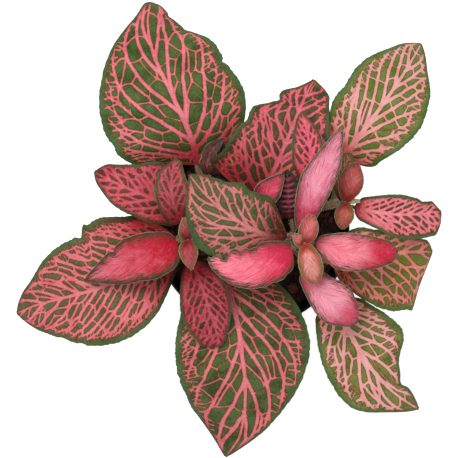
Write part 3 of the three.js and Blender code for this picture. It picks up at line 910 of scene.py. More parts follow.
class Net:
    """The veins of one side of a leaf, in millimetres: along the midrib and out from it.

    Strong side veins run from the midrib to the margin. Between two of them the small veins run
    where two cells of the leaf's green meet, half way between the cells' hearts.
    """

    SAMPLES = 41
    FAR = 99.0
    SOFT_RANGE = (-3, 9)
    LEAST_STEP = 0.012
    LEAST_WIDTH = 0.1
    HAIR_RANK = 1.35
    HAIR_TAPER = np.array([1, 0.9, 0.75, 0.5, 0.1])
    HAIR_SPAN = (0.04, 0.97)
    HAIR_START = (0.1, 0.2)
    HAIR_END = (0.02, 0.1)
    HAIR_LEAN = (0.05, 0.25)
    LAST_ACROSS = 0.96
    CELLS_FROM, CELLS_TO = 0.03, 1.02
    PROBE = 0.02
    FINER_ROWS, FINER_CELLS = 0.2, 0.25
    NARROWEST = 0.3
    THIN_LINK = 0.3

    def __init__(self, shape: Shape, side: int, rng: np.random.Generator) -> None:
        """Grows the net.

        Args:
            shape: the leaf's surface.
            side: 0 for its left and 1 for its right.
            rng: the source of its irregularity.
        """
        self.shape, self.side, self.rng = shape, side, rng
        self.style = shape.leaf.style
        self.across = np.linspace(0, 1, self.SAMPLES)
        leaf = shape.leaf
        veins = leaf.veins[side] if leaf.veins else fan(leaf.count, sweep=leaf.style.sweep)
        self.strands = self.side_veins(veins)
        last = max(len(veins) - 1, 1)
        self.lines = [self.line(strand, k / last) for k, strand in enumerate(self.strands)]
        angles = [self.angle(strand) for strand in self.strands]
        self.angles = [0.5 * (angles[0] + math.pi / 2), *angles, 0.6 * angles[-1]]
        self.hairs = self.fringe()
        self.edges = [np.zeros(self.SAMPLES), *self.strands, np.ones(self.SAMPLES)]
        self.patches = [self.patch(low, high) for low, high in zip(self.edges, self.edges[1:])]

    def side_veins(self, veins: tuple[Triple, ...]) -> list[np.ndarray]:
        """The side veins in order, each with a slight wander.

        Args:
            veins: the three stations of each.

        Returns:
            The stations of each at the samples across.
        """
        made: list[np.ndarray] = []
        for stations in veins:
            wander = np.cumsum(self.rng.normal(0, self.style.wander, self.SAMPLES))
            line = bend(stations, self.across) + wander - np.linspace(0, wander[-1], self.SAMPLES)
            if made:
                line = np.maximum(line, made[-1] + self.LEAST_STEP * (1 - made[-1]))
            made.append(np.clip(line, 0, 0.995))
        return made

    def points(self, t: np.ndarray, c: np.ndarray) -> np.ndarray:
        """Flat places of shares (t, c), in millimetres."""
        half = self.shape.half(self.side, t)
        return np.stack([t * self.shape.length, c * half + (1 - c) * self.lean(t)], -1)

    def lean(self, t: np.ndarray) -> np.ndarray:
        """How far the midrib's vein lies into this side."""
        return self.shape.shift(t) * (1 if self.side else -1)

    def angle(self, strand: np.ndarray) -> np.ndarray:
        """The directions of a side vein, from the midrib's, in radians."""
        run = np.gradient(self.points(strand, self.across), axis=0)
        return np.arctan2(run[:, 1], run[:, 0])

    def fade(self, c: np.ndarray) -> np.ndarray:
        """The share of a vein's width that is left at a share across: none at the margin."""
        x = np.clip((c - self.style.reach + 0.1) / 0.2, 0, 1)
        return 1 - x * x * (3 - 2 * x)

    def line(self, strand: np.ndarray, share: float) -> tuple[np.ndarray, np.ndarray]:
        """A side vein, thinning towards the margin.

        Args:
            strand: its stations at the samples across.
            share: its place among the side veins, 0 for the first and 1 for the last.

        Returns:
            Its points and its width at each.
        """
        first, last = self.style.second
        width = (first + (last - first) * share) * (1 - 0.5 * self.across) * self.fade(self.across)
        keep = width > self.LEAST_WIDTH
        return self.points(strand, self.across)[keep], width[keep]

    def fringe(self) -> list[tuple[np.ndarray, np.ndarray]]:
        """Fine short veins that run out side by side into the green margin.

        Returns:
            The points of each and its width there.
        """
        style, rng, made = self.style, self.rng, []
        stations = np.linspace(0, 1, 60)
        run = np.linalg.norm(np.diff(self.points(stations, np.full(60, 0.9)), axis=0), axis=1)
        length = np.concatenate([[0], np.cumsum(run)])
        first, last = self.HAIR_SPAN
        for place in np.arange(first * length[-1], last * length[-1], style.fringe):
            t = float(np.interp(place + rng.normal(0, 0.14) * style.fringe, length, stations))
            inner = style.reach - rng.uniform(*self.HAIR_START)
            outer = min(style.reach + rng.uniform(*self.HAIR_END), self.LAST_ACROSS)
            lean = rng.uniform(*self.HAIR_LEAN) * (1 - t) * 0.2
            c = np.linspace(inner, outer, 5)
            bow = t + lean * (np.linspace(-1, 0.3, 5) - 0.1 * rng.normal() * np.linspace(-1, 1, 5) ** 2)
            made.append((self.points(np.clip(bow, 0, 1), c), style.hair * self.HAIR_TAPER))
        return made

    def patch(self, low: np.ndarray, high: np.ndarray) -> Patch:
        """The cells between two side veins, laid like bricks that grow finer outward.

        Args:
            low: the stations of the vein nearer the base.
            high: the stations of the vein nearer the tip.

        Returns:
            The seeds, with the width and rank of the vein between each two.
        """
        style, rng = self.style, self.rng
        seeds, flows = [], []
        below, middle = self.points(low, self.across), (low + high) / 2
        c, beat, probe = self.CELLS_FROM, int(rng.integers(2)), self.PROBE
        while c < self.CELLS_TO:
            a, b = np.interp(c, self.across, low), np.interp(c, self.across, high)
            pair = self.points(np.interp([c, c + probe], self.across, middle), np.array([c, c + probe]))
            run = pair[1] - pair[0]
            span = np.linalg.norm(run)
            breadth = np.linalg.norm(self.points(b, np.array(c)) - below, axis=1).min()
            count = max(1, round(breadth / style.gap / (1 - self.FINER_ROWS * c * c)))
            step = style.cell * (1 - self.FINER_CELLS * c) / 2 / (span / probe)
            for row in range(count):
                if breadth < self.NARROWEST * style.gap or (row + beat) % 2:
                    continue
                share = (row + 0.5 + rng.normal(0, style.jitter)) / count
                place = c + rng.normal(0, style.jitter) * 2 * step
                seeds.append(self.points(np.array(a + (b - a) * share), np.array(place)))
                flows.append(run / span)
            c += step
            beat += 1
        if not seeds:
            return Patch(np.zeros((0, 2)), np.zeros((0, 0)), np.zeros((0, 0)))
        spots, flow = np.array(seeds), np.array(flows)
        away = spots[None] - spots[:, None]
        far = np.linalg.norm(away, axis=2) + 1e-6
        along = np.abs((away * flow[:, None]).sum(2)) / far
        widths = style.link * (1.15 - 0.4 * along) * rng.uniform(0.75, 1.2, far.shape)
        thin = rng.uniform(size=far.shape) < style.thin * along
        widths = np.where(thin, self.THIN_LINK, widths)
        upper = np.triu(np.ones_like(far), 1) > 0
        widths, ranks = np.where(upper, widths, widths.T), np.where(upper, thin, thin.T) * 2.0
        return Patch(spots, widths, np.maximum(ranks, 1.0))

    def field(self, u: np.ndarray, v: np.ndarray) -> tuple[np.ndarray, np.ndarray]:
        """How near this side's veins are.

        Args:
            u: flat places along the midrib, in millimetres.
            v: the same places across it.

        Returns:
            The nearness there, and the same weighted by the veins' ranks.
        """
        total, ranked = np.zeros_like(u), np.zeros_like(u)
        t = u / self.shape.length
        lean = self.lean(t)
        c = (v - lean) / np.maximum(self.shape.half(self.side, t) - lean, 0.2)
        fade = self.fade(c)
        gap = np.zeros(u.shape, int)
        for strand in self.strands:
            gap += t > np.interp(c, self.across, strand)
        for k, patch in enumerate(self.patches):
            here = np.where((gap == k) & (c > -0.02))[0]
            if len(patch.seeds) < 2 or not len(here):
                continue
            low, high = (np.interp(c[here], self.across, edge) for edge in self.edges[k:k + 2])
            share = np.clip((t[here] - low) / np.maximum(high - low, 1e-3), 0, 1)
            ahead, beside = (np.interp(c[here], self.across, angle) for angle in self.angles[k:k + 2])
            angle = (ahead + (beside - ahead) * share)[:, None]
            cos, sin, slim = np.cos(angle), np.sin(angle), self.style.slim
            x, y = u[here, None] - patch.seeds[:, 0], v[here, None] - patch.seeds[:, 1]
            square = ((x * cos + y * sin) * slim) ** 2 + (y * cos - x * sin) ** 2
            home = square.argmin(1)
            apart = patch.seeds[home][:, None] - patch.seeds[None]
            x, y = apart[..., 0], apart[..., 1]
            apart = np.hypot((x * cos + y * sin) * slim**2, y * cos - x * sin)
            rows = np.arange(len(here))
            far = (square - square[rows, home][:, None]) / (2 * np.maximum(apart, 1e-6))
            far[rows, home] = self.FAR
            near = self.nearness(far - patch.widths[home] / 2 * fade[here, None])
            near *= np.clip(fade[here, None] * 3, 0, 1)
            total[here] += near.sum(1)
            ranked[here] += (near * patch.ranks[home]).sum(1)
        for line in self.lines:
            total += self.nearness(self.nearest([line], u, v))
        near = self.nearness(self.nearest(self.hairs, u, v))
        return total + near, ranked + self.HAIR_RANK * near

    def nearness(self, far: np.ndarray) -> np.ndarray:
        """A distance from a vein's edge as a soft nearness that can be summed."""
        return np.exp(-np.clip(far, *self.SOFT_RANGE) / self.style.blend)

    def nearest(self, lines: list[tuple[np.ndarray, np.ndarray]], u: np.ndarray,
                v: np.ndarray) -> np.ndarray:
        """The distance to the nearest edge of some drawn lines.

        Args:
            lines: the points of each and its width there.
            u: flat places along the midrib, in millimetres.
            v: the same places across it.

        Returns:
            The distances, below zero inside a line.
        """
        best = np.full(u.shape, self.FAR)
        for line, width in lines:
            pad = float(width.max()) + 6 * self.style.blend
            low, high = line.min(0) - pad, line.max(0) + pad
            here = np.where((u > low[0]) & (u < high[0]) & (v > low[1]) & (v < high[1]))[0]
            for a, b, wa, wb in zip(line, line[1:], width, width[1:]):
                d = b - a
                s = np.clip(((u[here] - a[0]) * d[0] + (v[here] - a[1]) * d[1]) / (d @ d + 1e-12), 0, 1)
                far = np.hypot(u[here] - a[0] - s * d[0], v[here] - a[1] - s * d[1])
                best[here] = np.minimum(best[here], far - (wa + (wb - wa) * s) / 2)
        return best


class Blade:
    """A leaf's blade: thin and waved, with its net of veins."""

    SPACING = 0.44
    LEAST_ROWS = 64
    OVERLAP = 4
    LONG = 60
    RIB_STATIONS = (0, 0.3, 0.7, 1)
    LEAST = 1e-9
    STREAKS = 40
    SIDE_SHIFT = 300
    THICKNESS = 0.5
    QUILT = 0.32

    def __init__(self, leaf: Leaf, seed: int) -> None:
        """Lays out the blade's grid and draws its net.

        Args:
            leaf: the row that it follows.
            seed: the seed of its irregularity.
        """
        self.leaf, self.shape = leaf, Shape(leaf)
        self.rng = np.random.default_rng(seed)
        spacing = min(self.SPACING, self.shape.length / self.LEAST_ROWS)
        self.rows = int(self.shape.length / spacing)
        breadth = max(leaf.left) + max(leaf.right)
        self.columns = int(breadth / spacing) // 2 * 2

    def field(self, u: np.ndarray, v: np.ndarray) -> tuple[np.ndarray, np.ndarray]:
        """Distance to the nearest vein's edge, below zero inside it, and the rank of that vein.

        Args:
            u: places along the midrib, one row of the grid a row, in millimetres.
            v: places across it, negative on the left.

        Returns:
            The distances and the ranks, on the same grid.
        """
        blend = self.leaf.style.blend
        total, ranked = np.zeros_like(u), np.zeros_like(u)
        for side, sign in ((0, -1), (1, 1)):
            near = sign * v > -self.OVERLAP
            net = Net(self.shape, side, self.rng)
            share, rank = net.field(u[near], sign * v[near])
            total[near] += share
            ranked[near] += rank
        station = u / self.shape.length
        rib = np.interp(station, self.RIB_STATIONS, self.leaf.style.rib) / 2
        total += net.nearness(np.abs(v - self.shape.shift(station)) - rib)
        total = np.maximum(total, self.LEAST)
        return -blend * np.log(total), ranked / total

    def flow(self, t: np.ndarray, c: np.ndarray) -> np.ndarray:
        """Coordinates for streaks that run out from the midrib along the side veins.

        Args:
            t: shares along the midrib, one row of the grid a row.
            c: shares across.

        Returns:
            How far out each point lies and where its streak starts, in millimetres.
        """
        family = np.array(fan(self.STREAKS, 0.0, 0.97, self.leaf.style.sweep))
        start = np.zeros_like(t)
        for j in range(t.shape[1]):
            share = min(abs(float(c[0, j])), 1.0)
            lines = np.array([bend(row, share) for row in family])
            start[:, j] = np.interp(t[:, j], np.maximum.accumulate(lines), family[:, 0])
            start[:, j] += np.minimum(t[:, j] - lines[0], 0) + np.maximum(t[:, j] - lines[-1], 0)
        half = np.where(c < 0, self.shape.half(0, t), self.shape.half(1, t))
        out = np.hypot(c * half, (t - start) * self.shape.length)
        return np.stack([out, start * self.shape.length + self.SIDE_SHIFT * (c < 0)], -1)

    def build(self, palette: Palette, slot: Slot, nodes: list[str]) -> None:
        """Makes the piece, with the net as attributes and the streaks as a map.

        Args:
            palette: the source of its materials.
            slot: the record's material slot; not used.
            nodes: the CAD nodes that it stands for.
        """
        bm = bmesh.new()
        bmesh.ops.create_grid(bm, x_segments=self.rows, y_segments=self.columns, size=1)
        edge = RIM_FINISH if self.shape.length > self.LONG else YOUNG_RIM_FINISH
        piece = to_object(bm, "blade" + self.leaf.name[4:], nodes,
                          [palette.of(self.leaf.finish), palette.of(BackFinish()), palette.of(edge)])
        mesh = piece.data
        flat = np.zeros(len(mesh.vertices) * 3, np.float32)
        mesh.vertices.foreach_get("co", flat)
        flat = flat.reshape(-1, 3)
        i = np.rint((flat[:, 0] + 1) / 2 * self.rows).astype(int)
        j = np.rint((flat[:, 1] + 1) / 2 * self.columns).astype(int)
        along, across = np.linspace(0, 1, self.rows + 1), np.linspace(1, -1, self.columns + 1)
        t, c = np.meshgrid(along, across, indexing="ij")
        half = np.where(c < 0, self.shape.trimmed(0, t), self.shape.trimmed(1, t))
        plain = np.where(c < 0, self.shape.half(0, t), self.shape.half(1, t))
        order = slice(None, None, -1)
        vein, rank = self.field(t * self.shape.length, (c * plain)[:, order])
        vein, rank = vein[:, order], rank[:, order]
        rim = (1 - np.abs(c)) * half
        rim = np.minimum(rim, (1 - t) * self.shape.length + 0.3)
        bulge = self.QUILT * (1 - np.exp(-np.maximum(vein, 0) / 0.9)) * np.clip(rim / 2, 0, 1)
        place = self.shape.surface(t, c, bulge + self.THICKNESS / 2) * MM
        mesh.vertices.foreach_set("co", place[i, j].astype(np.float32).ravel())
        for name, values in (("vein", vein), ("rank", rank), ("rim", rim), ("along", t)):
            number = mesh.attributes.new(name, "FLOAT", "POINT")
            number.data.foreach_set("value", values[i, j].astype(np.float32))
        corners = np.zeros(len(mesh.loops), np.int32)
        mesh.loops.foreach_get("vertex_index", corners)
        flow = self.flow(t, c)[i, j][corners].astype(np.float32)
        layer = mesh.uv_layers.get("flow") or mesh.uv_layers.new(name="flow")
        layer.uv.foreach_set("vector", flow.ravel())
        mesh.update()
        thick = piece.modifiers.new("thickness", "SOLIDIFY")
        thick.thickness = self.THICKNESS * MM
        thick.offset = -1
        thick.material_offset = 1
        thick.material_offset_rim = 2


@dataclass(frozen=True)
class Stem:
    """A shoot's stem: three points of its axis from the soil up, and its radius at both ends."""

    name: str
    path: tuple[Triple, ...]
    radius: tuple[float, float]

    def radii(self, t: np.ndarray) -> np.ndarray:
        """The radius at shares t of the way up."""
        return self.radius[0] + (self.radius[1] - self.radius[0]) * t

    def passing(self, height: float) -> tuple[np.ndarray, float]:
        """Where the axis passes a height.

        Args:
            height: in millimetres above the pot's underside.

        Returns:
            The point of the axis and the radius there.
        """
        t = np.linspace(0, 1, 400)
        way = through(self.path, t)
        k = int(np.argmin(np.abs(way[:, 2] - height)))
        return way[k], self.radii(t[k])


class Stalk:
    """The petiole of a leaf, which runs on beneath the blade as its keel."""

    RADIUS = 1.15
    FULL_BREADTH = 40
    SINK = -0.3
    BEND = 0.35
    FLARE = ((0, 0.12, 1), (1.35, 1.0, 0.9))
    KEEL_END = 0.9
    KEEL_DEPTH, KEEL_BASE = 0.25, 0.45
    KEEL_THICK, KEEL_TAPER = 0.85, 0.65
    SIDES = 10
    HAIRS = 46
    HAIR = 0.0007
    HAIRY = 16

    def __init__(self, leaf: Leaf, stem: Stem) -> None:
        """Lays its way from the stem to the blade's tip.

        Args:
            leaf: the leaf that it carries.
            stem: the stem that carries it.
        """
        self.leaf = leaf
        axis, thick = stem.passing(leaf.at)
        base = through(leaf.path, np.array(0.0))
        out = (base - axis) * [1, 1, 0]
        out /= np.linalg.norm(out)
        start = axis + out * (thick + self.SINK)
        span = np.linalg.norm(base - start)
        arrive = base - heading(leaf.path, np.array(0.0)) * self.BEND * span
        s = np.linspace(0, 1, 15)[:-1, None]
        knee = start + out * self.BEND * span
        rest = 1 - s
        petiole = rest**3 * start + 3 * s * rest**2 * knee + 3 * s * s * rest * arrive + s**3 * base
        t = np.linspace(0, self.KEEL_END, 26)
        shape = Shape(leaf)
        shift = shape.shift(t)
        share = shift / np.maximum(np.where(shift > 0, shape.half(1, t), shape.half(0, t)), 1)
        keel = shape.surface(t, share, -self.KEEL_DEPTH - self.KEEL_BASE * (1 - t))
        breadth = max(leaf.left) + max(leaf.right)
        radius = self.RADIUS * min(1.0, 0.35 + breadth / self.FULL_BREADTH)
        self.points = np.concatenate([petiole, keel]) * MM
        flared = np.interp(s[:, 0], *self.FLARE) * radius
        self.radii = np.concatenate([flared, radius * (self.KEEL_THICK - self.KEEL_TAPER * t)]) * MM

    def add(self, bm: bmesh.types.BMesh, rng: np.random.Generator) -> None:
        """Adds the petiole, keel and their hairs to a mesh."""
        add_tube(bm, self.points, self.radii, self.SIDES)
        add_hairs(bm, self.points[:self.HAIRY], self.radii[:self.HAIRY], self.HAIRS, self.HAIR, rng)


# This plant's finishes and rows

RIM_FINISH = StalkFinish("leaf_rim", (78, 104, 56), (96, 104, 70))
YOUNG_RIM_FINISH = StalkFinish("young_rim", (132, 146, 112), (160, 158, 130))
# painted shade: the petioles' own pale green and pink darkened, for the petioles and keels that lie under
# the leaves
SHADE_DARKENED_PETIOLE_FINISH = StalkFinish("petiole", (100, 94, 56), (148, 76, 68))
STEM_FINISH = StalkFinish("stem", (118, 116, 74), (152, 100, 86))
HAIR_FINISH = StalkFinish("hair", (214, 206, 180), (226, 214, 200))
PEAT_FINISH = PeatFinish("peat", (30, 17, 14), (62, 38, 30), 0.9)
CRUMB_FINISH = PeatFinish("peat_crumb", (40, 22, 18), (74, 44, 34), 0.85)
CHIP_FINISH = PeatFinish("bark_chip", (72, 36, 30), (112, 62, 50), 0.7)

UPPER_LEFT = NetFinish("upper_left", (218, 106, 114), (172, 46, 62), green=(82, 99, 49), deep=(54, 74, 26),
                       dusk=0.28)
UPPER_RIGHT = NetFinish("upper_right", (223, 153, 147), (204, 112, 112), green=(117, 125, 66),
                        deep=(84, 112, 22), dusk=0.12)
TOP_MIDDLE = NetFinish("top_middle", (212, 92, 105), (160, 44, 62), green=(96, 86, 51), deep=(58, 60, 38),
                       dusk=0.55)
UPRIGHT = NetFinish("upright", (226, 91, 112), (176, 40, 66), green=(104, 86, 66), deep=(72, 60, 44),
                    dusk=0.5)
LEFT = NetFinish("left", (221, 110, 116), (208, 58, 82), green=(106, 100, 64), deep=(78, 82, 46), dusk=0.4)
BOTTOM = NetFinish("bottom", (218, 107, 112), (176, 54, 70), green=(86, 100, 55), deep=(58, 70, 34),
                   dusk=0.25)
LOWER_RIGHT = NetFinish("lower_right", (229, 157, 151), (210, 118, 120), green=(120, 126, 64),
                        deep=(88, 102, 34), dusk=0.1)
BROAD_RIGHT = NetFinish("broad_right", (216, 126, 114), (184, 84, 82), green=(106, 112, 30),
                        deep=(104, 112, 52))
CENTRE = NetFinish("centre", (196, 110, 109), (104, 44, 38), green=(88, 98, 55), deep=(58, 72, 36),
                   margin=(58, 84, 52), dusk=0.5)
LEFT_MEDIUM = NetFinish("left_medium", (195, 70, 84), (172, 38, 62), green=(106, 72, 52),
                        deep=(72, 50, 40), dusk=0.8)
FOLDED = NetFinish("folded", (184, 74, 82), (150, 34, 48), green=(112, 96, 74), deep=(76, 60, 50), dusk=0.6)
RIGHT = NetFinish("right", (222, 114, 122), (196, 80, 88), green=(104, 88, 60), deep=(76, 58, 40),
                  vein_highlight=0.5, dusk=0.12)
DARK_PINK = NetFinish("dark_pink", (178, 62, 76), (150, 28, 52), green=(96, 76, 48), deep=(58, 44, 32),
                      margin=(76, 92, 60), edge=(96, 28, 32), dusk=0.7)
SHADED = NetFinish("shaded", (122, 34, 52), (92, 18, 36), green=(38, 34, 24), deep=(28, 24, 18),
                   thin=(96, 30, 42), edge=(44, 30, 26), margin=(52, 56, 40))

PALE = FlushFinish("upright_pale", (234, 146, 166), (190, 44, 80), root=0.6, brim=0.25, flush=0.05,
                   dash=0.7, band=1.1)
PINK_RIGHT = FlushFinish("pink_right", (240, 132, 146), (206, 26, 62), root=0.04, end=0.5, brim=0.15,
                         flush=0.05, dash=0.8, band=1.25)
PINK_LEFT = FlushFinish("pink_left", (244, 132, 150), (212, 46, 78), root=0.9, flush=0.1, dash=0.6,
                        band=1.9)
PINK_LOWER = FlushFinish("pink_lower", (243, 154, 171), (210, 70, 98), root=0.5, end=0.6, brim=0.5,
                         dash=0.7, band=1.2)
PINK_OUTER = FlushFinish("pink_outer", (232, 116, 132), (184, 20, 44), root=0.9, brim=0.5, flush=0.15,
                         dash=0.95, band=2.5)
INNER = FlushFinish("inner", (218, 76, 100), (176, 30, 60), margin=(46, 62, 46), root=0.5, brim=0.5)
TIP = FlushFinish("shoot_tip", (210, 116, 114), (182, 54, 56), slit=(122, 40, 40), margin=(92, 84, 48),
                  rimming=(154, 154, 114), root=0.6, brim=0.4, dash=0.6, band=0.8)
TIP_PALE = FlushFinish("shoot_tip_pale", (226, 148, 138), (176, 56, 54), slit=(132, 48, 38),
                       margin=(112, 102, 50), rimming=(160, 156, 108), root=0.4, brim=0.8, dash=0.7,
                       band=1.0)
TIP_SHADED = FlushFinish("shoot_tip_shaded", (186, 92, 88), (150, 44, 40), slit=(96, 30, 26),
                         margin=(84, 78, 44), rimming=(146, 150, 116), root=0.5, brim=0.5, dash=0.6,
                         band=0.7)
SHADY = NetFinish("shady", (170, 96, 84), (140, 70, 60), green=(84, 96, 48), deep=(60, 72, 32),
                  thin=(132, 96, 70), edge=(80, 70, 36), margin=(74, 92, 50))
TIP_GREEN = NetFinish("shoot_tip_green", (214, 178, 158), (196, 150, 130), green=(168, 164, 120),
                      deep=(140, 134, 88), thin=(200, 176, 146), edge=(150, 130, 92),
                      margin=(176, 172, 132))
TIP_DARK = FlushFinish("shoot_tip_dark", (188, 92, 94), (146, 34, 48), slit=(104, 26, 34),
                       margin=(106, 98, 54), rimming=(166, 160, 112), root=0.8, brim=0.2, dash=0.6,
                       band=0.9)
TIP_DULL = FlushFinish("shoot_tip_dull", (206, 118, 98), (170, 60, 54), slit=(112, 38, 34),
                       margin=(106, 98, 54), rimming=(166, 160, 112), root=0.5, brim=0.5, dash=0.6,
                       band=0.9)
CURLED = NetFinish("curled", (128, 68, 66), (84, 42, 38), green=(76, 54, 40), deep=(56, 42, 32),
                   thin=(120, 80, 72), edge=(70, 44, 36), margin=(92, 94, 76))

BARRED = replace(SLITS, rib=(0.5, 0.4, 0.3, 0.3), second=(1.6, 1.4), link=0.5, cell=7.0, gap=3.0, sweep=0.0)
BAR_STARTS = (0.06, 0.17, 0.28, 0.39, 0.50, 0.61, 0.72, 0.83)
BARS = tuple((start, start + 0.02, start + 0.05) for start in BAR_STARTS)

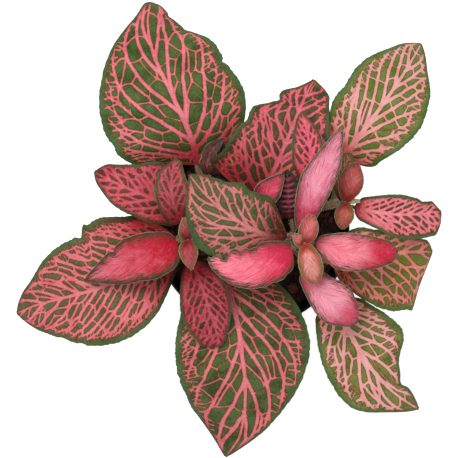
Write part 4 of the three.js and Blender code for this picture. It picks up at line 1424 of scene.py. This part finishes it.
LEAVES = (
    Leaf("leaf_upper_left", "back", 92,
         ((-25, 29, 97), (-32, 50, 105), (-43.2, 74.8, 100), (-46.4, 104.2, 80)),
         (27, 33, 33, 24.5, 8), (22, 30.5, 29, 26.5, 12), (6, 5), -0.12, (0.8, 4), UPPER_LEFT, OPEN,
         rib=(0.6, 1.0, 0, -0.5),
         veins=(((0.06, 0.13, 0.33), (0.10, 0.20, 0.50), (0.165, 0.47, 0.78), (0.35, 0.69, 0.90),
                 (0.59, 0.85, 0.955), (0.76, 0.93, 0.98)),
                ((0.05, 0.12, 0.25), (0.10, 0.24, 0.47), (0.17, 0.375, 0.80), (0.27, 0.66, 0.95),
                 (0.46, 0.86, 0.975), (0.68, 0.93, 0.985))),
         tip=0.45,
         notches=((0, 0.36, 0.03, 1.0), (1, 0.515, 0.02, 1.0), (1, 0.83, 0.02, 1.2),
                  (1, 0.925, 0.015, 1.0), (0, 0.07, 0.05, -1.8))),
    Leaf("leaf_upper_right", "right", 96,
         ((41, 32.5, 101), (53, 48.8, 107), (65.7, 66.5, 101), (77.3, 84.7, 84)),
         (13.5, 19.5, 20, 16.8, 9.3), (13.5, 18.5, 19.8, 15.5, 6), (0, 4), -0.1, (0.7, 4), UPPER_RIGHT,
         BROAD,
         veins=(((0.02, 0.24, 0.66), (0.12, 0.42, 0.76), (0.24, 0.60, 0.85), (0.44, 0.74, 0.92),
                 (0.60, 0.86, 0.96), (0.78, 0.93, 0.98)),
                ((0.03, 0.12, 0.28), (0.07, 0.26, 0.45), (0.14, 0.45, 0.60), (0.28, 0.60, 0.72),
                 (0.46, 0.70, 0.80), (0.60, 0.80, 0.88), (0.75, 0.88, 0.95))),
         notches=((0, 0.07, 0.09, -3.0), (0, 0.42, 0.1, 1.7), (0, 0.7, 0.07, -0.6), (1, 0.02, 0.08, -2.0))),
    Leaf("leaf_top_middle", "back", 98,
         ((2.5, 13, 103), (11.8, 31.5, 108.5), (19.5, 50, 107), (27.7, 67, 99)),
         (22, 23.8, 20.8, 12.5, 4.2), (8, 14, 17.3, 15, 10.5), (8, 12), -0.1, (0.9, 4), TOP_MIDDLE,
         replace(DENSE, gap=3.0), count=7,
         notches=((0, 0.06, 0.12, -6.0), (0, 0.50, 0.03, 1.0), (0, 0.61, 0.06, -3.0), (0, 0.73, 0.02, 1.4),
                  (0, 0.80, 0.05, -2.0), (1, 0.55, 0.07, -1.6))),
    Leaf("leaf_left", "left", 90,
         ((-34, -4.3, 94.5), (-58.5, -21, 101), (-82.2, -30, 94), (-108.5, -39, 75)),
         (12, 24, 27, 22.5, 12), (21, 28, 24.5, 21.5, 10), (6, 6), -0.1, (0.8, 5), LEFT,
         replace(DENSE, cell=9.5, slim=0.38, gap=2.9), count=8, rib=(-0.8, -1.0, -0.2, 0.5),
         notches=((1, 0.43, 0.03, -2.0), (1, 0.485, 0.02, 1.6), (0, 0.68, 0.02, 0.8),
                  (0, 0.79, 0.02, 0.6))),
    Leaf("leaf_bottom", "left", 94,
         ((-13.5, -15, 96), (-5.5, -44, 102), (-2.5, -73.2, 95), (-12, -105.3, 74)),
         (18, 27.5, 29, 19.5, 7), (20, 29, 31.5, 28.5, 12.5), (6, 4), -0.1, (0.9, 5), BOTTOM, OPEN,
         rib=(0.7, 1.6, 0.4, -1.6),
         veins=(((0.06, 0.16, 0.38), (0.15, 0.315, 0.62), (0.21, 0.475, 0.74), (0.39, 0.65, 0.83),
                 (0.60, 0.79, 0.93), (0.78, 0.90, 0.97)),
                ((0.06, 0.24, 0.62), (0.2, 0.47, 0.8), (0.40, 0.70, 0.91), (0.60, 0.86, 0.96),
                 (0.78, 0.93, 0.98))),
         notches=((1, 0.6, 0.03, 0.8), (1, 0.85, 0.085, -5.0))),
    Leaf("leaf_centre", "centre", 119,
         ((14.5, -3, 130), (-0.5, 0, 136), (-16, 10.5, 134), (-27.5, 23.5, 126.5)),
         (3, 7.5, 19, 15.5, 5), (12, 16, 14, 11.5, 6), (4, 4), -0.1, (0.6, 4), CENTRE,
         replace(DENSE, gap=3.3, second=(1.35, 1.1), link=0.85, rib=(2.0, 1.6, 1.1, 0.6), reach=0.8),
         roll=(6, 0),
         veins=(((0.0, 0.25, 0.52), (0.12, 0.45, 0.70), (0.30, 0.62, 0.82), (0.46, 0.76, 0.90),
                 (0.63, 0.86, 0.95)),
                ((0.05, 0.17, 0.30), (0.17, 0.33, 0.47), (0.28, 0.46, 0.62), (0.37, 0.57, 0.74),
                 (0.48, 0.68, 0.83), (0.62, 0.80, 0.91), (0.76, 0.90, 0.96))),
         notches=((0, 0.37, 0.07, -5.0), (1, 0.62, 0.05, -2.0), (1, 0.74, 0.03, 0.8))),
    Leaf("leaf_upright_small", "centre", 98,
         ((26, 19.5, 113), (25.5, 30.5, 117), (24, 41, 118), (21.5, 51.5, 115)),
         (6, 8.5, 8, 6.5, 3.5), (5, 7, 6, 5, 2), (8, 8), 0, (0.3, 3), UPRIGHT, CLOSE),
    Leaf("leaf_upright_pale", "centre", 128,
         ((21.5, -1, 134), (24.5, 13, 140), (30.5, 27.5, 138), (38.5, 43, 128)),
         (4.5, 6.5, 7.5, 5.5, 3), (4, 6, 7, 6.5, 3), (6, 6), 0, (0.3, 4), PALE, SLITS),
    Leaf("leaf_pink_right", "centre", 136,
         ((26, -6, 138), (38, -9, 142), (49.5, -10.5, 138), (62.5, -9.5, 127)),
         (5, 7.5, 8, 7.5, 5.5), (4.5, 8.5, 8, 7, 5), (4, 4), -0.1, (0.4, 5), PINK_RIGHT, SLITS),
    Leaf("leaf_pink_left", "centre", 134,
         ((16.2, -8.2, 136.5), (4.7, -11.8, 142.5), (-7.1, -14.2, 142.5), (-19.5, -12.2, 139)),
         (9.3, 12, 12.2, 10, 4.8), (4.6, 6.4, 4.8, 5.9, 4.4), (4, 2), -0.1, (0.4, 5), PINK_LEFT, SLITS,
         roll=(8, 8),
         notches=((1, 0.82, 0.05, 4.6), (1, 0.95, 0.06, 2.0), (1, 0.62, 0.02, 0.8), (1, 0.53, 0.03, -0.8),
                  (1, 0.4, 0.02, 0.6), (0, 0.35, 0.03, 0.8), (0, 0.22, 0.03, -0.6))),
    Leaf("leaf_pink_lower", "centre", 127,
         ((22.5, -17.5, 130), (28, -26, 133), (36, -33.5, 129), (45.5, -41, 118)),
         (6, 7.5, 9.5, 9.5, 5.5), (4.5, 6, 8, 8.5, 5), (4, 4), -0.1, (0.3, 4), PINK_LOWER, SLITS),
    Leaf("leaf_pink_outer", "left", 116,
         ((-33.5, -5, 118), (-46, -10.5, 121), (-60, -16.5, 115), (-75, -23, 104)),
         (9.5, 12, 10.5, 8, 3.5), (6, 9, 9.5, 7, 3), (4, 4), -0.1, (0.5, 5), PINK_OUTER, SLITS,
         notches=((1, 0.64, 0.025, 1.3), (1, 0.5, 0.03, -0.7), (0, 0.5, 0.03, 0.6), (0, 0.15, 0.05, -0.8))),
    Leaf("leaf_left_medium", "left", 104,
         ((-30, 8, 107), (-43, 13, 111), (-56.5, 18.5, 110), (-70.5, 25.5, 104)),
         (9, 10.5, 10.5, 9.5, 5), (8, 13, 15, 10.5, 6.5), (6, 6), -0.1, (0.4, 4), LEFT_MEDIUM,
         replace(DENSE, gap=2.7, cell=4.8, link=1.3, second=(1.8, 1.5), reach=0.86),
         notches=((1, 0.3, 0.15, -2.8), (1, 0.62, 0.03, 0.8))),
    Leaf("leaf_folded", "left", 114,
         ((-31, 3.5, 117), (-35, 12.5, 121), (-35.5, 22.5, 121), (-34, 31, 116)),
         (6, 7, 7.5, 6, 2), (4, 6, 7, 6, 3.5), (10, 26), 0, (0.3, 3), FOLDED, CLOSE,
         notches=((1, 0.4, 0.2, -2.0),)),
    Leaf("leaf_dark_pink", "left", 104,
         ((-27, -14.5, 107), (-22, -27, 112), (-18, -39.5, 110), (-14, -52.5, 103)),
         (6, 10, 10.5, 8.5, 4), (7, 10.5, 12.5, 12, 9), (6, 6), -0.1, (0.4, 4), DARK_PINK, CLOSE, count=8),
    Leaf("leaf_right", "right", 108, ((45, 9.5, 113), (57, 7.5, 119), (70, 6.5, 117), (83.5, 7.5, 109)),
         (5.3, 7.3, 8.4, 7.3, 4.5), (5.5, 8, 11, 11, 10), (6, 6), -0.1, (0.4, 4), RIGHT,
         replace(CLOSE, cell=4.6, second=(1.25, 1.05), link=1.0, reach=0.8), count=8,
         rib=(0.5, 0.5, 0, -0.5), notches=((0, 0.78, 0.03, 0.7), (0, 0.9, 0.04, -1.0),
                                           (1, 0.94, 0.03, 0.8))),
    Leaf("leaf_broad_right", "centre", 106,
         ((35.5, -14.5, 106), (49.5, -12.5, 111), (65.5, -10.5, 107), (81, -10.5, 96)),
         (10, 13.5, 11, 8, 5.5), (12, 20, 25, 24.5, 12), (4, 2), -0.1, (0.6, 4), BROAD_RIGHT,
         replace(OPEN, gap=3.9, cell=6.4, second=(1.7, 1.35), link=1.1, rib=(2.4, 1.9, 1.2, 0.7)),
         veins=(fan(6), ((0.06, 0.14, 0.27), (0.12, 0.28, 0.48), (0.20, 0.43, 0.66), (0.28, 0.56, 0.79),
                         (0.36, 0.68, 0.88), (0.50, 0.80, 0.94), (0.68, 0.89, 0.97))),
         notches=((1, 0.81, 0.08, -7.0), (0, 0.95, 0.04, -0.8))),
    Leaf("leaf_lower_right", "centre", 90,
         ((37.5, -32, 96), (44.8, -48.8, 101), (57, -66.9, 95), (76.8, -82.8, 78)),
         (12, 18.9, 21.1, 10.8, 5.2), (12, 16, 18.7, 18, 6.5), (8, 6), -0.1, (0.7, 4), LOWER_RIGHT,
         replace(BROAD, second=(1.9, 1.5), link=1.05, cell=7.4, thin=0.25, rib=(2.8, 2.3, 1.5, 0.8)),
         veins=(((0.03, 0.15, 0.38), (0.08, 0.24, 0.50), (0.13, 0.35, 0.63), (0.26, 0.5, 0.72),
                 (0.42, 0.66, 0.81), (0.70, 0.84, 0.93)),
                ((0.03, 0.11, 0.30), (0.08, 0.22, 0.42), (0.20, 0.425, 0.68), (0.42, 0.63, 0.80),
                 (0.52, 0.76, 0.90), (0.64, 0.83, 0.94))),
         notches=((0, 0.8, 0.045, 2.4),)),
    Leaf("leaf_small_inner", "centre", 109,
         ((1.4, 10.5, 113), (5.5, 15, 116), (9.5, 19.5, 117), (13.2, 24.2, 116)),
         (3.5, 5.5, 5.5, 4, 2), (3.5, 5.5, 5.5, 4, 2), (8, 8), 0, (0.2, 3), INNER, SLITS),
    Leaf("leaf_small_curled", "back", 98,
         ((-19.8, 24.6, 101), (-20.3, 29.5, 103), (-18.3, 34.9, 103.6), (-13.2, 40.2, 103)),
         (2.5, 3.4, 3.8, 3.4, 1.8), (2.5, 3.6, 3.6, 3.2, 1.8), (20, 20), 0, (0.5, 3), CURLED, FINE,
         notches=((0, 0.45, 0.05, 0.8), (1, 0.7, 0.04, 0.8))),
    Leaf("leaf_small_shaded", "centre", 104,
         ((17, 4.5, 108.5), (16, 11, 111), (15.5, 18, 112.5), (15, 26, 112)),
         (3.2, 4.8, 5.2, 4.6, 3), (3.2, 4.8, 5.2, 4.6, 3), (6, 6), 0, (0.2, 3), SHADED, BARRED,
         veins=(BARS, BARS)),
)

PINK_LEAVES = {"leaf_upright_pale", "leaf_pink_right", "leaf_pink_left", "leaf_pink_lower",
               "leaf_pink_outer", "leaf_dark_pink", "leaf_small_shaded"}


def tip_leaf(stem: str, name: str, path: tuple[Triple, ...], half: tuple[float, ...], fold: float,
             finish: object = TIP) -> Leaf:
    """One of the smallest leaves, at a shoot's tip."""
    return Leaf(name, stem, 0, path, half, half, (fold, fold), 0, (0, 1), finish, FINE)


TIP_LEAVES = (
    tip_leaf("left", "leaf_left_bud_upper",
             ((-28.5, -4.5, 125.5), (-29, -1.5, 129), (-29.5, 1.5, 130.5), (-30, 5, 130.5)),
             (2.4, 3.4, 3.2, 2.4, 1.2), 14, TIP_DARK),
    tip_leaf("left", "leaf_left_bud_lower",
             ((-28.5, -5, 125.5), (-28, -9, 129), (-27.5, -13.5, 128.5), (-26.5, -17.5, 125)),
             (3, 4.2, 4, 2.8, 1.2), 12, TIP_DARK),
    tip_leaf("centre", "leaf_centre_bud_upper",
             ((21.5, -5.5, 145.5), (22.5, -2, 149), (23.5, 2, 150), (24.5, 6, 148)), (2.6, 4, 4.2, 3.6, 2),
             12),
    tip_leaf("centre", "leaf_centre_bud_lower",
             ((21.5, -6.5, 145.5), (23, -12, 149), (24.5, -17.5, 147), (26.5, -23, 142)),
             (3, 4.6, 5.2, 4.8, 3), 12, TIP_PALE),
    tip_leaf("centre", "leaf_centre_bud_small",
             ((20.8, -6, 145.3), (19.4, -5.1, 148), (18.1, -3.8, 149), (16.4, -2.1, 149)),
             (1.6, 2.4, 2.5, 2, 1.2), 16),
    tip_leaf("right", "leaf_right_bud_upper",
             ((40.5, 12, 118.5), (42, 18, 122.5), (43.5, 23.5, 123), (45.5, 29, 120)),
             (3, 5, 5.6, 4.6, 2.4), 10, TIP_SHADED),
    tip_leaf("right", "leaf_right_bud_lower",
             ((40.5, 11.5, 118.5), (40, 7.5, 122), (39.5, 4, 121.5), (39.5, 0, 118)),
             (2.6, 4, 4.4, 3.6, 2), 10, TIP_DULL),
    tip_leaf("right", "leaf_right_bud_side",
             ((41.5, 11.5, 118), (43, 12, 119.5), (44.8, 12.2, 119.5), (46.8, 12.2, 118.5)),
             (0.7, 1.0, 1.1, 0.9, 0.8), 14, TIP_GREEN),
    tip_leaf("right", "leaf_right_bud_back",
             ((39, 12.5, 116), (38.5, 20, 114), (40.5, 27, 111), (43.5, 33.5, 107)), (2, 3.4, 4.4, 4.6, 3),
             8, SHADY),
)

STEMS = {
    "left": Stem("shoot_left", ((-16, -2, 66), (-24, -4, 96), (-28.5, -5, 126)), (2.3, 1.3)),
    "centre": Stem("shoot_centre", ((10, -4, 66), (18, -6, 106), (21.5, -6, 146)), (2.4, 1.3)),
    "right": Stem("shoot_right", ((24, 8, 66), (35, 11, 92), (40.5, 12, 119)), (2.2, 1.2)),
    "back": Stem("shoot_back", ((-9, 14, 66), (-10, 12, 84), (-9.5, 10.5, 103)), (2.2, 1.3)),
}


@dataclass
class Foliage:
    """All blades, their petioles and the four stems."""

    palette: Palette
    blade_seed: int = 11
    tip_seed: int = 61
    hair_seed: int = 100
    sides: int = 14
    hairs: int = 320
    hair: float = 0.0008
    node: float = 0.35
    node_height: float = 1.8
    samples: int = 48
    bare: int = 8

    def build(self) -> None:
        """Makes every blade with its petiole, and every stem with its tip leaves."""
        for seed, leaf in enumerate(LEAVES, self.blade_seed):
            Blade(leaf, seed).build(self.palette, leaf.slot, [leaf.name])
            self.petiole(leaf, seed)
        for name in STEMS:
            self.stem(name)
        for seed, leaf in enumerate(TIP_LEAVES, self.tip_seed):
            Blade(leaf, seed).build(self.palette, Slot.PINK, [STEMS[leaf.stem].name])

    def petiole(self, leaf: Leaf, seed: int) -> None:
        """The petiole and keel of a leaf, as a piece of their own.

        Args:
            leaf: the leaf that it carries.
            seed: the leaf's seed.
        """
        bm = bmesh.new()
        Stalk(leaf, STEMS[leaf.stem]).add(bm, np.random.default_rng(seed + self.hair_seed))
        finishes = [self.palette.of(SHADE_DARKENED_PETIOLE_FINISH), self.palette.of(HAIR_FINISH)]
        to_object(bm, "petiole" + leaf.name[4:], [leaf.name], finishes)

    def stem(self, name: str) -> None:
        """A stem, swollen where leaves leave it, with its hairs.

        Args:
            name: its name in the table of stems.
        """
        stem = STEMS[name]
        t = np.linspace(0, 1, self.samples)
        way = through(stem.path, t)
        radii = stem.radii(t)
        for leaf in LEAVES:
            if leaf.stem == name:
                radii = radii + self.node * np.exp(-(((way[:, 2] - leaf.at) / self.node_height) ** 2))
        radii[-1] *= 0.4
        bm = bmesh.new()
        add_tube(bm, way * MM, radii * MM, self.sides)
        add_hairs(bm, way[self.bare:] * MM, radii[self.bare:] * MM, self.hairs, self.hair,
                  np.random.default_rng(len(name)))
        finishes = [self.palette.of(STEM_FINISH), self.palette.of(HAIR_FINISH)]
        to_object(bm, "stem_" + name, [stem.name], finishes)


@dataclass
class Pot:
    """The round plastic pot, in millimetres."""

    palette: Palette
    height: float = 80
    rim: float = 45
    collar: float = 10
    step: float = 1.6
    foot: float = 30.5
    wall: float = 1.3
    pad: float = 12
    ring: float = 23.5
    rise: float = 2
    sides: int = 128
    holes: int = 6
    hole: float = 3.6
    crease: float = 38
    merge: float = 1e-6

    def inner(self, height: float) -> float:
        """The inner radius at a height."""
        slope = (self.rim - self.step - self.foot) / (self.height - self.collar)
        return self.foot + slope * height - self.wall

    def profile(self) -> list[tuple[float, float]]:
        """The wall's outline.

        Returns:
            Radii and heights from the axis below, round the rim and back to the axis inside.
        """
        low, wall, rise = self.height - self.collar, self.wall, self.rise
        return [
            (0, 0), (self.pad, 0), (self.pad + rise / 2, rise), (self.ring, rise),
            (self.ring + rise / 2, 0), (self.foot - 1, 0), (self.foot - 0.3, 0.3), (self.foot, 1),
            (self.inner(low) + wall, low), (self.rim - 0.6, low + 0.4), (self.rim - 0.1, low + 0.9),
            (self.rim, low + 2), (self.rim, self.height - 0.8), (self.rim - 0.15, self.height - 0.2),
            (self.rim - 0.5, self.height), (self.rim - wall + 0.3, self.height),
            (self.rim - wall, self.height - 0.4), (self.rim - wall, low + 2.4),
            (self.inner(low), low + 0.6), (self.inner(wall), wall), (self.ring + rise / 2 + 0.6, wall),
            (self.ring + 0.6, rise + wall), (self.pad + rise / 2 - 0.6, rise + wall),
            (self.pad - 0.6, wall), (0, wall),
        ]

    def build(self) -> None:
        """Spins the wall and drills the drain holes."""
        bm = spun(self.profile(), self.sides, self.merge)
        bmesh.ops.recalc_face_normals(bm, faces=bm.faces)
        self.drill(to_object(bm, "pot_wall", ["pot"], [self.palette.of(PlasticFinish())]))

    def drill(self, pot: bpy.types.Object) -> None:
        """Cuts the drain holes through the floor of the raised channel.

        Args:
            pot: the piece to cut.
        """
        bm = bmesh.new()
        reach = (self.pad + self.ring) / 2 + 0.4
        for k in range(self.holes):
            angle = 2 * math.pi * k / self.holes
            at = Matrix.Translation((reach * MM * math.cos(angle), reach * MM * math.sin(angle), 2.5 * MM))
            bmesh.ops.create_cone(bm, cap_ends=True, segments=32, radius1=self.hole * MM,
                                  radius2=self.hole * MM, depth=9 * MM, matrix=at)
        cutter = put("drain_cutter", to_mesh(bm, "drain_cutter"))
        cut = pot.modifiers.new("drain", "BOOLEAN")
        cut.object, cut.operation, cut.solver = cutter, "DIFFERENCE", "EXACT"
        graph = bpy.context.evaluated_depsgraph_get()
        made = bpy.data.meshes.new_from_object(pot.evaluated_get(graph))
        pot.modifiers.clear()
        pot.data = made
        made.shade_smooth()
        made.set_sharp_from_angle(angle=math.radians(self.crease))
        bpy.data.objects.remove(cutter)


@dataclass
class Soil:
    """The peat in the pot: a bumpy top with crumbs and bark chips.

    Sizes are in millimetres, and below is the outline of its hidden side and underside.
    """

    palette: Palette
    top: float = 73
    radius: float = 41.6
    relief: float = 1.6
    crumbs: int = 520
    chips: int = 110
    crumb_sizes: tuple[float, float] = (0.5, 1.7)
    chip_sizes: tuple[float, float] = (1.3, 3.3)
    below: tuple[tuple[float, float], ...] = ((0, 4.2), (10, 4.2), (24, 4.2), (28, 3), (29.2, 3),
                                              (40.2, 64))
    seed: int = 3
    steps: int = 180
    merge: float = 2e-5
    brow: float = 0.6

    def level(self, x: np.ndarray, y: np.ndarray) -> np.ndarray:
        """The top's height: the CAD relief with finer bumps on it.

        Args:
            x: places to the right, in millimetres.
            y: places to the back.

        Returns:
            The heights there.
        """
        broad = np.sin(x * 0.21 + 1.3) * np.cos(y * 0.24 - 0.6)
        fine = np.sin(x * 0.63 + y * 0.41) * np.cos(y * 0.57 - x * 0.22 + 2.1)
        grit = np.sin(x * 2.1 + 1.7 * np.sin(y * 1.3)) * np.cos(y * 2.4 - 1.1 * np.sin(x * 1.7))
        return self.top + self.relief * (0.6 * broad + 0.4 * fine) + 0.45 * grit

    def build(self) -> None:
        """Makes the peat's body, then its loose crumbs and chips."""
        self.body()
        rng = np.random.default_rng(self.seed)
        self.scatter("soil_crumbs", self.crumbs, self.crumb_sizes, 1, rng, CRUMB_FINISH)
        self.scatter("soil_chips", self.chips, self.chip_sizes, 2, rng, CHIP_FINISH)

    def body(self) -> None:
        """A round block, spun from its outline, with the relief on its top."""
        shoulder = self.radius - self.brow
        outline = [*self.below, (shoulder, self.top - 2)]
        outline += [(radius, self.top) for radius in np.linspace(shoulder, 0, 60)]
        bm = spun(outline, self.steps, self.merge)
        for vert in bm.verts:
            if vert.co.z > (self.top - 0.1) * MM:
                vert.co.z = float(self.level(vert.co.x / MM, vert.co.y / MM)) * MM
        bmesh.ops.recalc_face_normals(bm, faces=bm.faces)
        to_object(bm, "soil_bed", ["soil"], [self.palette.of(PEAT_FINISH)])

    def scatter(self, name: str, count: int, sizes: tuple[float, float], detail: int,
                rng: np.random.Generator, finish: PeatFinish) -> None:
        """Loose lumps strewn over the top, each an uneven ball half sunk in the peat.

        Args:
            name: the piece's name.
            count: the number of lumps.
            sizes: the smallest and largest radius, in millimetres.
            detail: the subdivisions of a lump.
            rng: the source of their places and shapes.
            finish: their finish.
        """
        bm = bmesh.new()
        for _ in range(count):
            size = rng.uniform(*sizes)
            reach = (self.radius - size - 1) * math.sqrt(rng.uniform())
            angle = rng.uniform(0, 2 * math.pi)
            x, y = reach * math.cos(angle), reach * math.sin(angle)
            z = float(self.level(x, y)) + size * rng.uniform(0.0, 0.3)
            stretch = Matrix.Diagonal((rng.uniform(0.8, 1.5), rng.uniform(0.6, 1.0),
                                       rng.uniform(0.45, 0.8), 1))
            spin = Matrix.Rotation(rng.uniform(0, math.pi), 4, "Z")
            tilt = Matrix.Rotation(rng.normal(0, 0.4), 4, "X")
            at = Matrix.Translation((x * MM, y * MM, z * MM))
            lump = bmesh.ops.create_icosphere(bm, subdivisions=detail, radius=size * MM,
                                              matrix=at @ (spin @ tilt) @ stretch)
            for vert in lump["verts"]:
                vert.co += Vector(rng.normal(0, 0.09 * size, 3) * MM)
        to_object(bm, name, ["soil"], [self.palette.of(finish)])


@dataclass
class Studio:
    """The pale floor, the soft light and the camera above, in metres."""

    palette: Palette
    camera_height: float = 0.9
    camera_x: float = -0.0105
    focal_pixels: float = 1784
    picture: int = 458
    sensor: float = 36
    sight: tuple[float, float] = (0.01, 20)
    floor: float = 6
    sky: float = 0.31
    aim: Triple = (0, 0, 0.1)

    def build(self) -> None:
        """Adds floor, sky, lamps and camera."""
        self.ground()
        world = bpy.data.worlds.new("soft_sky")
        bpy.context.scene.world = world
        world.use_nodes = True
        sky = world.node_tree.nodes["Background"]
        sky.inputs["Color"].default_value = (1, 1, 1, 1)
        sky.inputs["Strength"].default_value = self.sky
        self.lamp("key", (-0.3, 0.4, 1.2), 0.7, 12.2)
        self.lamp("fill", (0.8, -0.6, 0.9), 0.9, 4.6)
        lens = bpy.data.cameras.new("camera")
        lens.sensor_width = self.sensor
        lens.lens = self.focal_pixels / self.picture * self.sensor
        lens.clip_start, lens.clip_end = self.sight
        camera = put("camera", lens)
        camera.location = (self.camera_x, 0, self.camera_height)
        bpy.context.scene.camera = camera
        bpy.context.scene.view_settings.view_transform = "Standard"

    def ground(self) -> None:
        """The floor, which isn't a part of the object."""
        bm = bmesh.new()
        bmesh.ops.create_grid(bm, x_segments=1, y_segments=1, size=self.floor)
        floor = put("floor", to_mesh(bm, "floor"))
        floor.data.materials.append(self.palette.of(FloorFinish()))

    def lamp(self, name: str, at: Triple, size: float, power: float) -> None:
        """A large square lamp that faces the plant.

        Args:
            name: its name.
            at: its place.
            size: its edge.
            power: its power, in watts.
        """
        light = bpy.data.lights.new(name, "AREA")
        light.size, light.energy = size, power
        lamp = put(name, light)
        lamp.location = at
        lamp.rotation_euler = (Vector(self.aim) - Vector(at)).to_track_quat("-Z", "Y").to_euler()


def main() -> None:
    """Loads the frame and builds every sub-assembly."""
    logging.basicConfig(level=logging.INFO, format="%(message)s")
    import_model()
    palette = Palette()
    for part in (Studio, Pot, Soil, Foliage):
        part(palette).build()
        log.info("%s is done", part.__name__)
    bpy.context.view_layer.update()


if __name__ == "__main__":
    main()
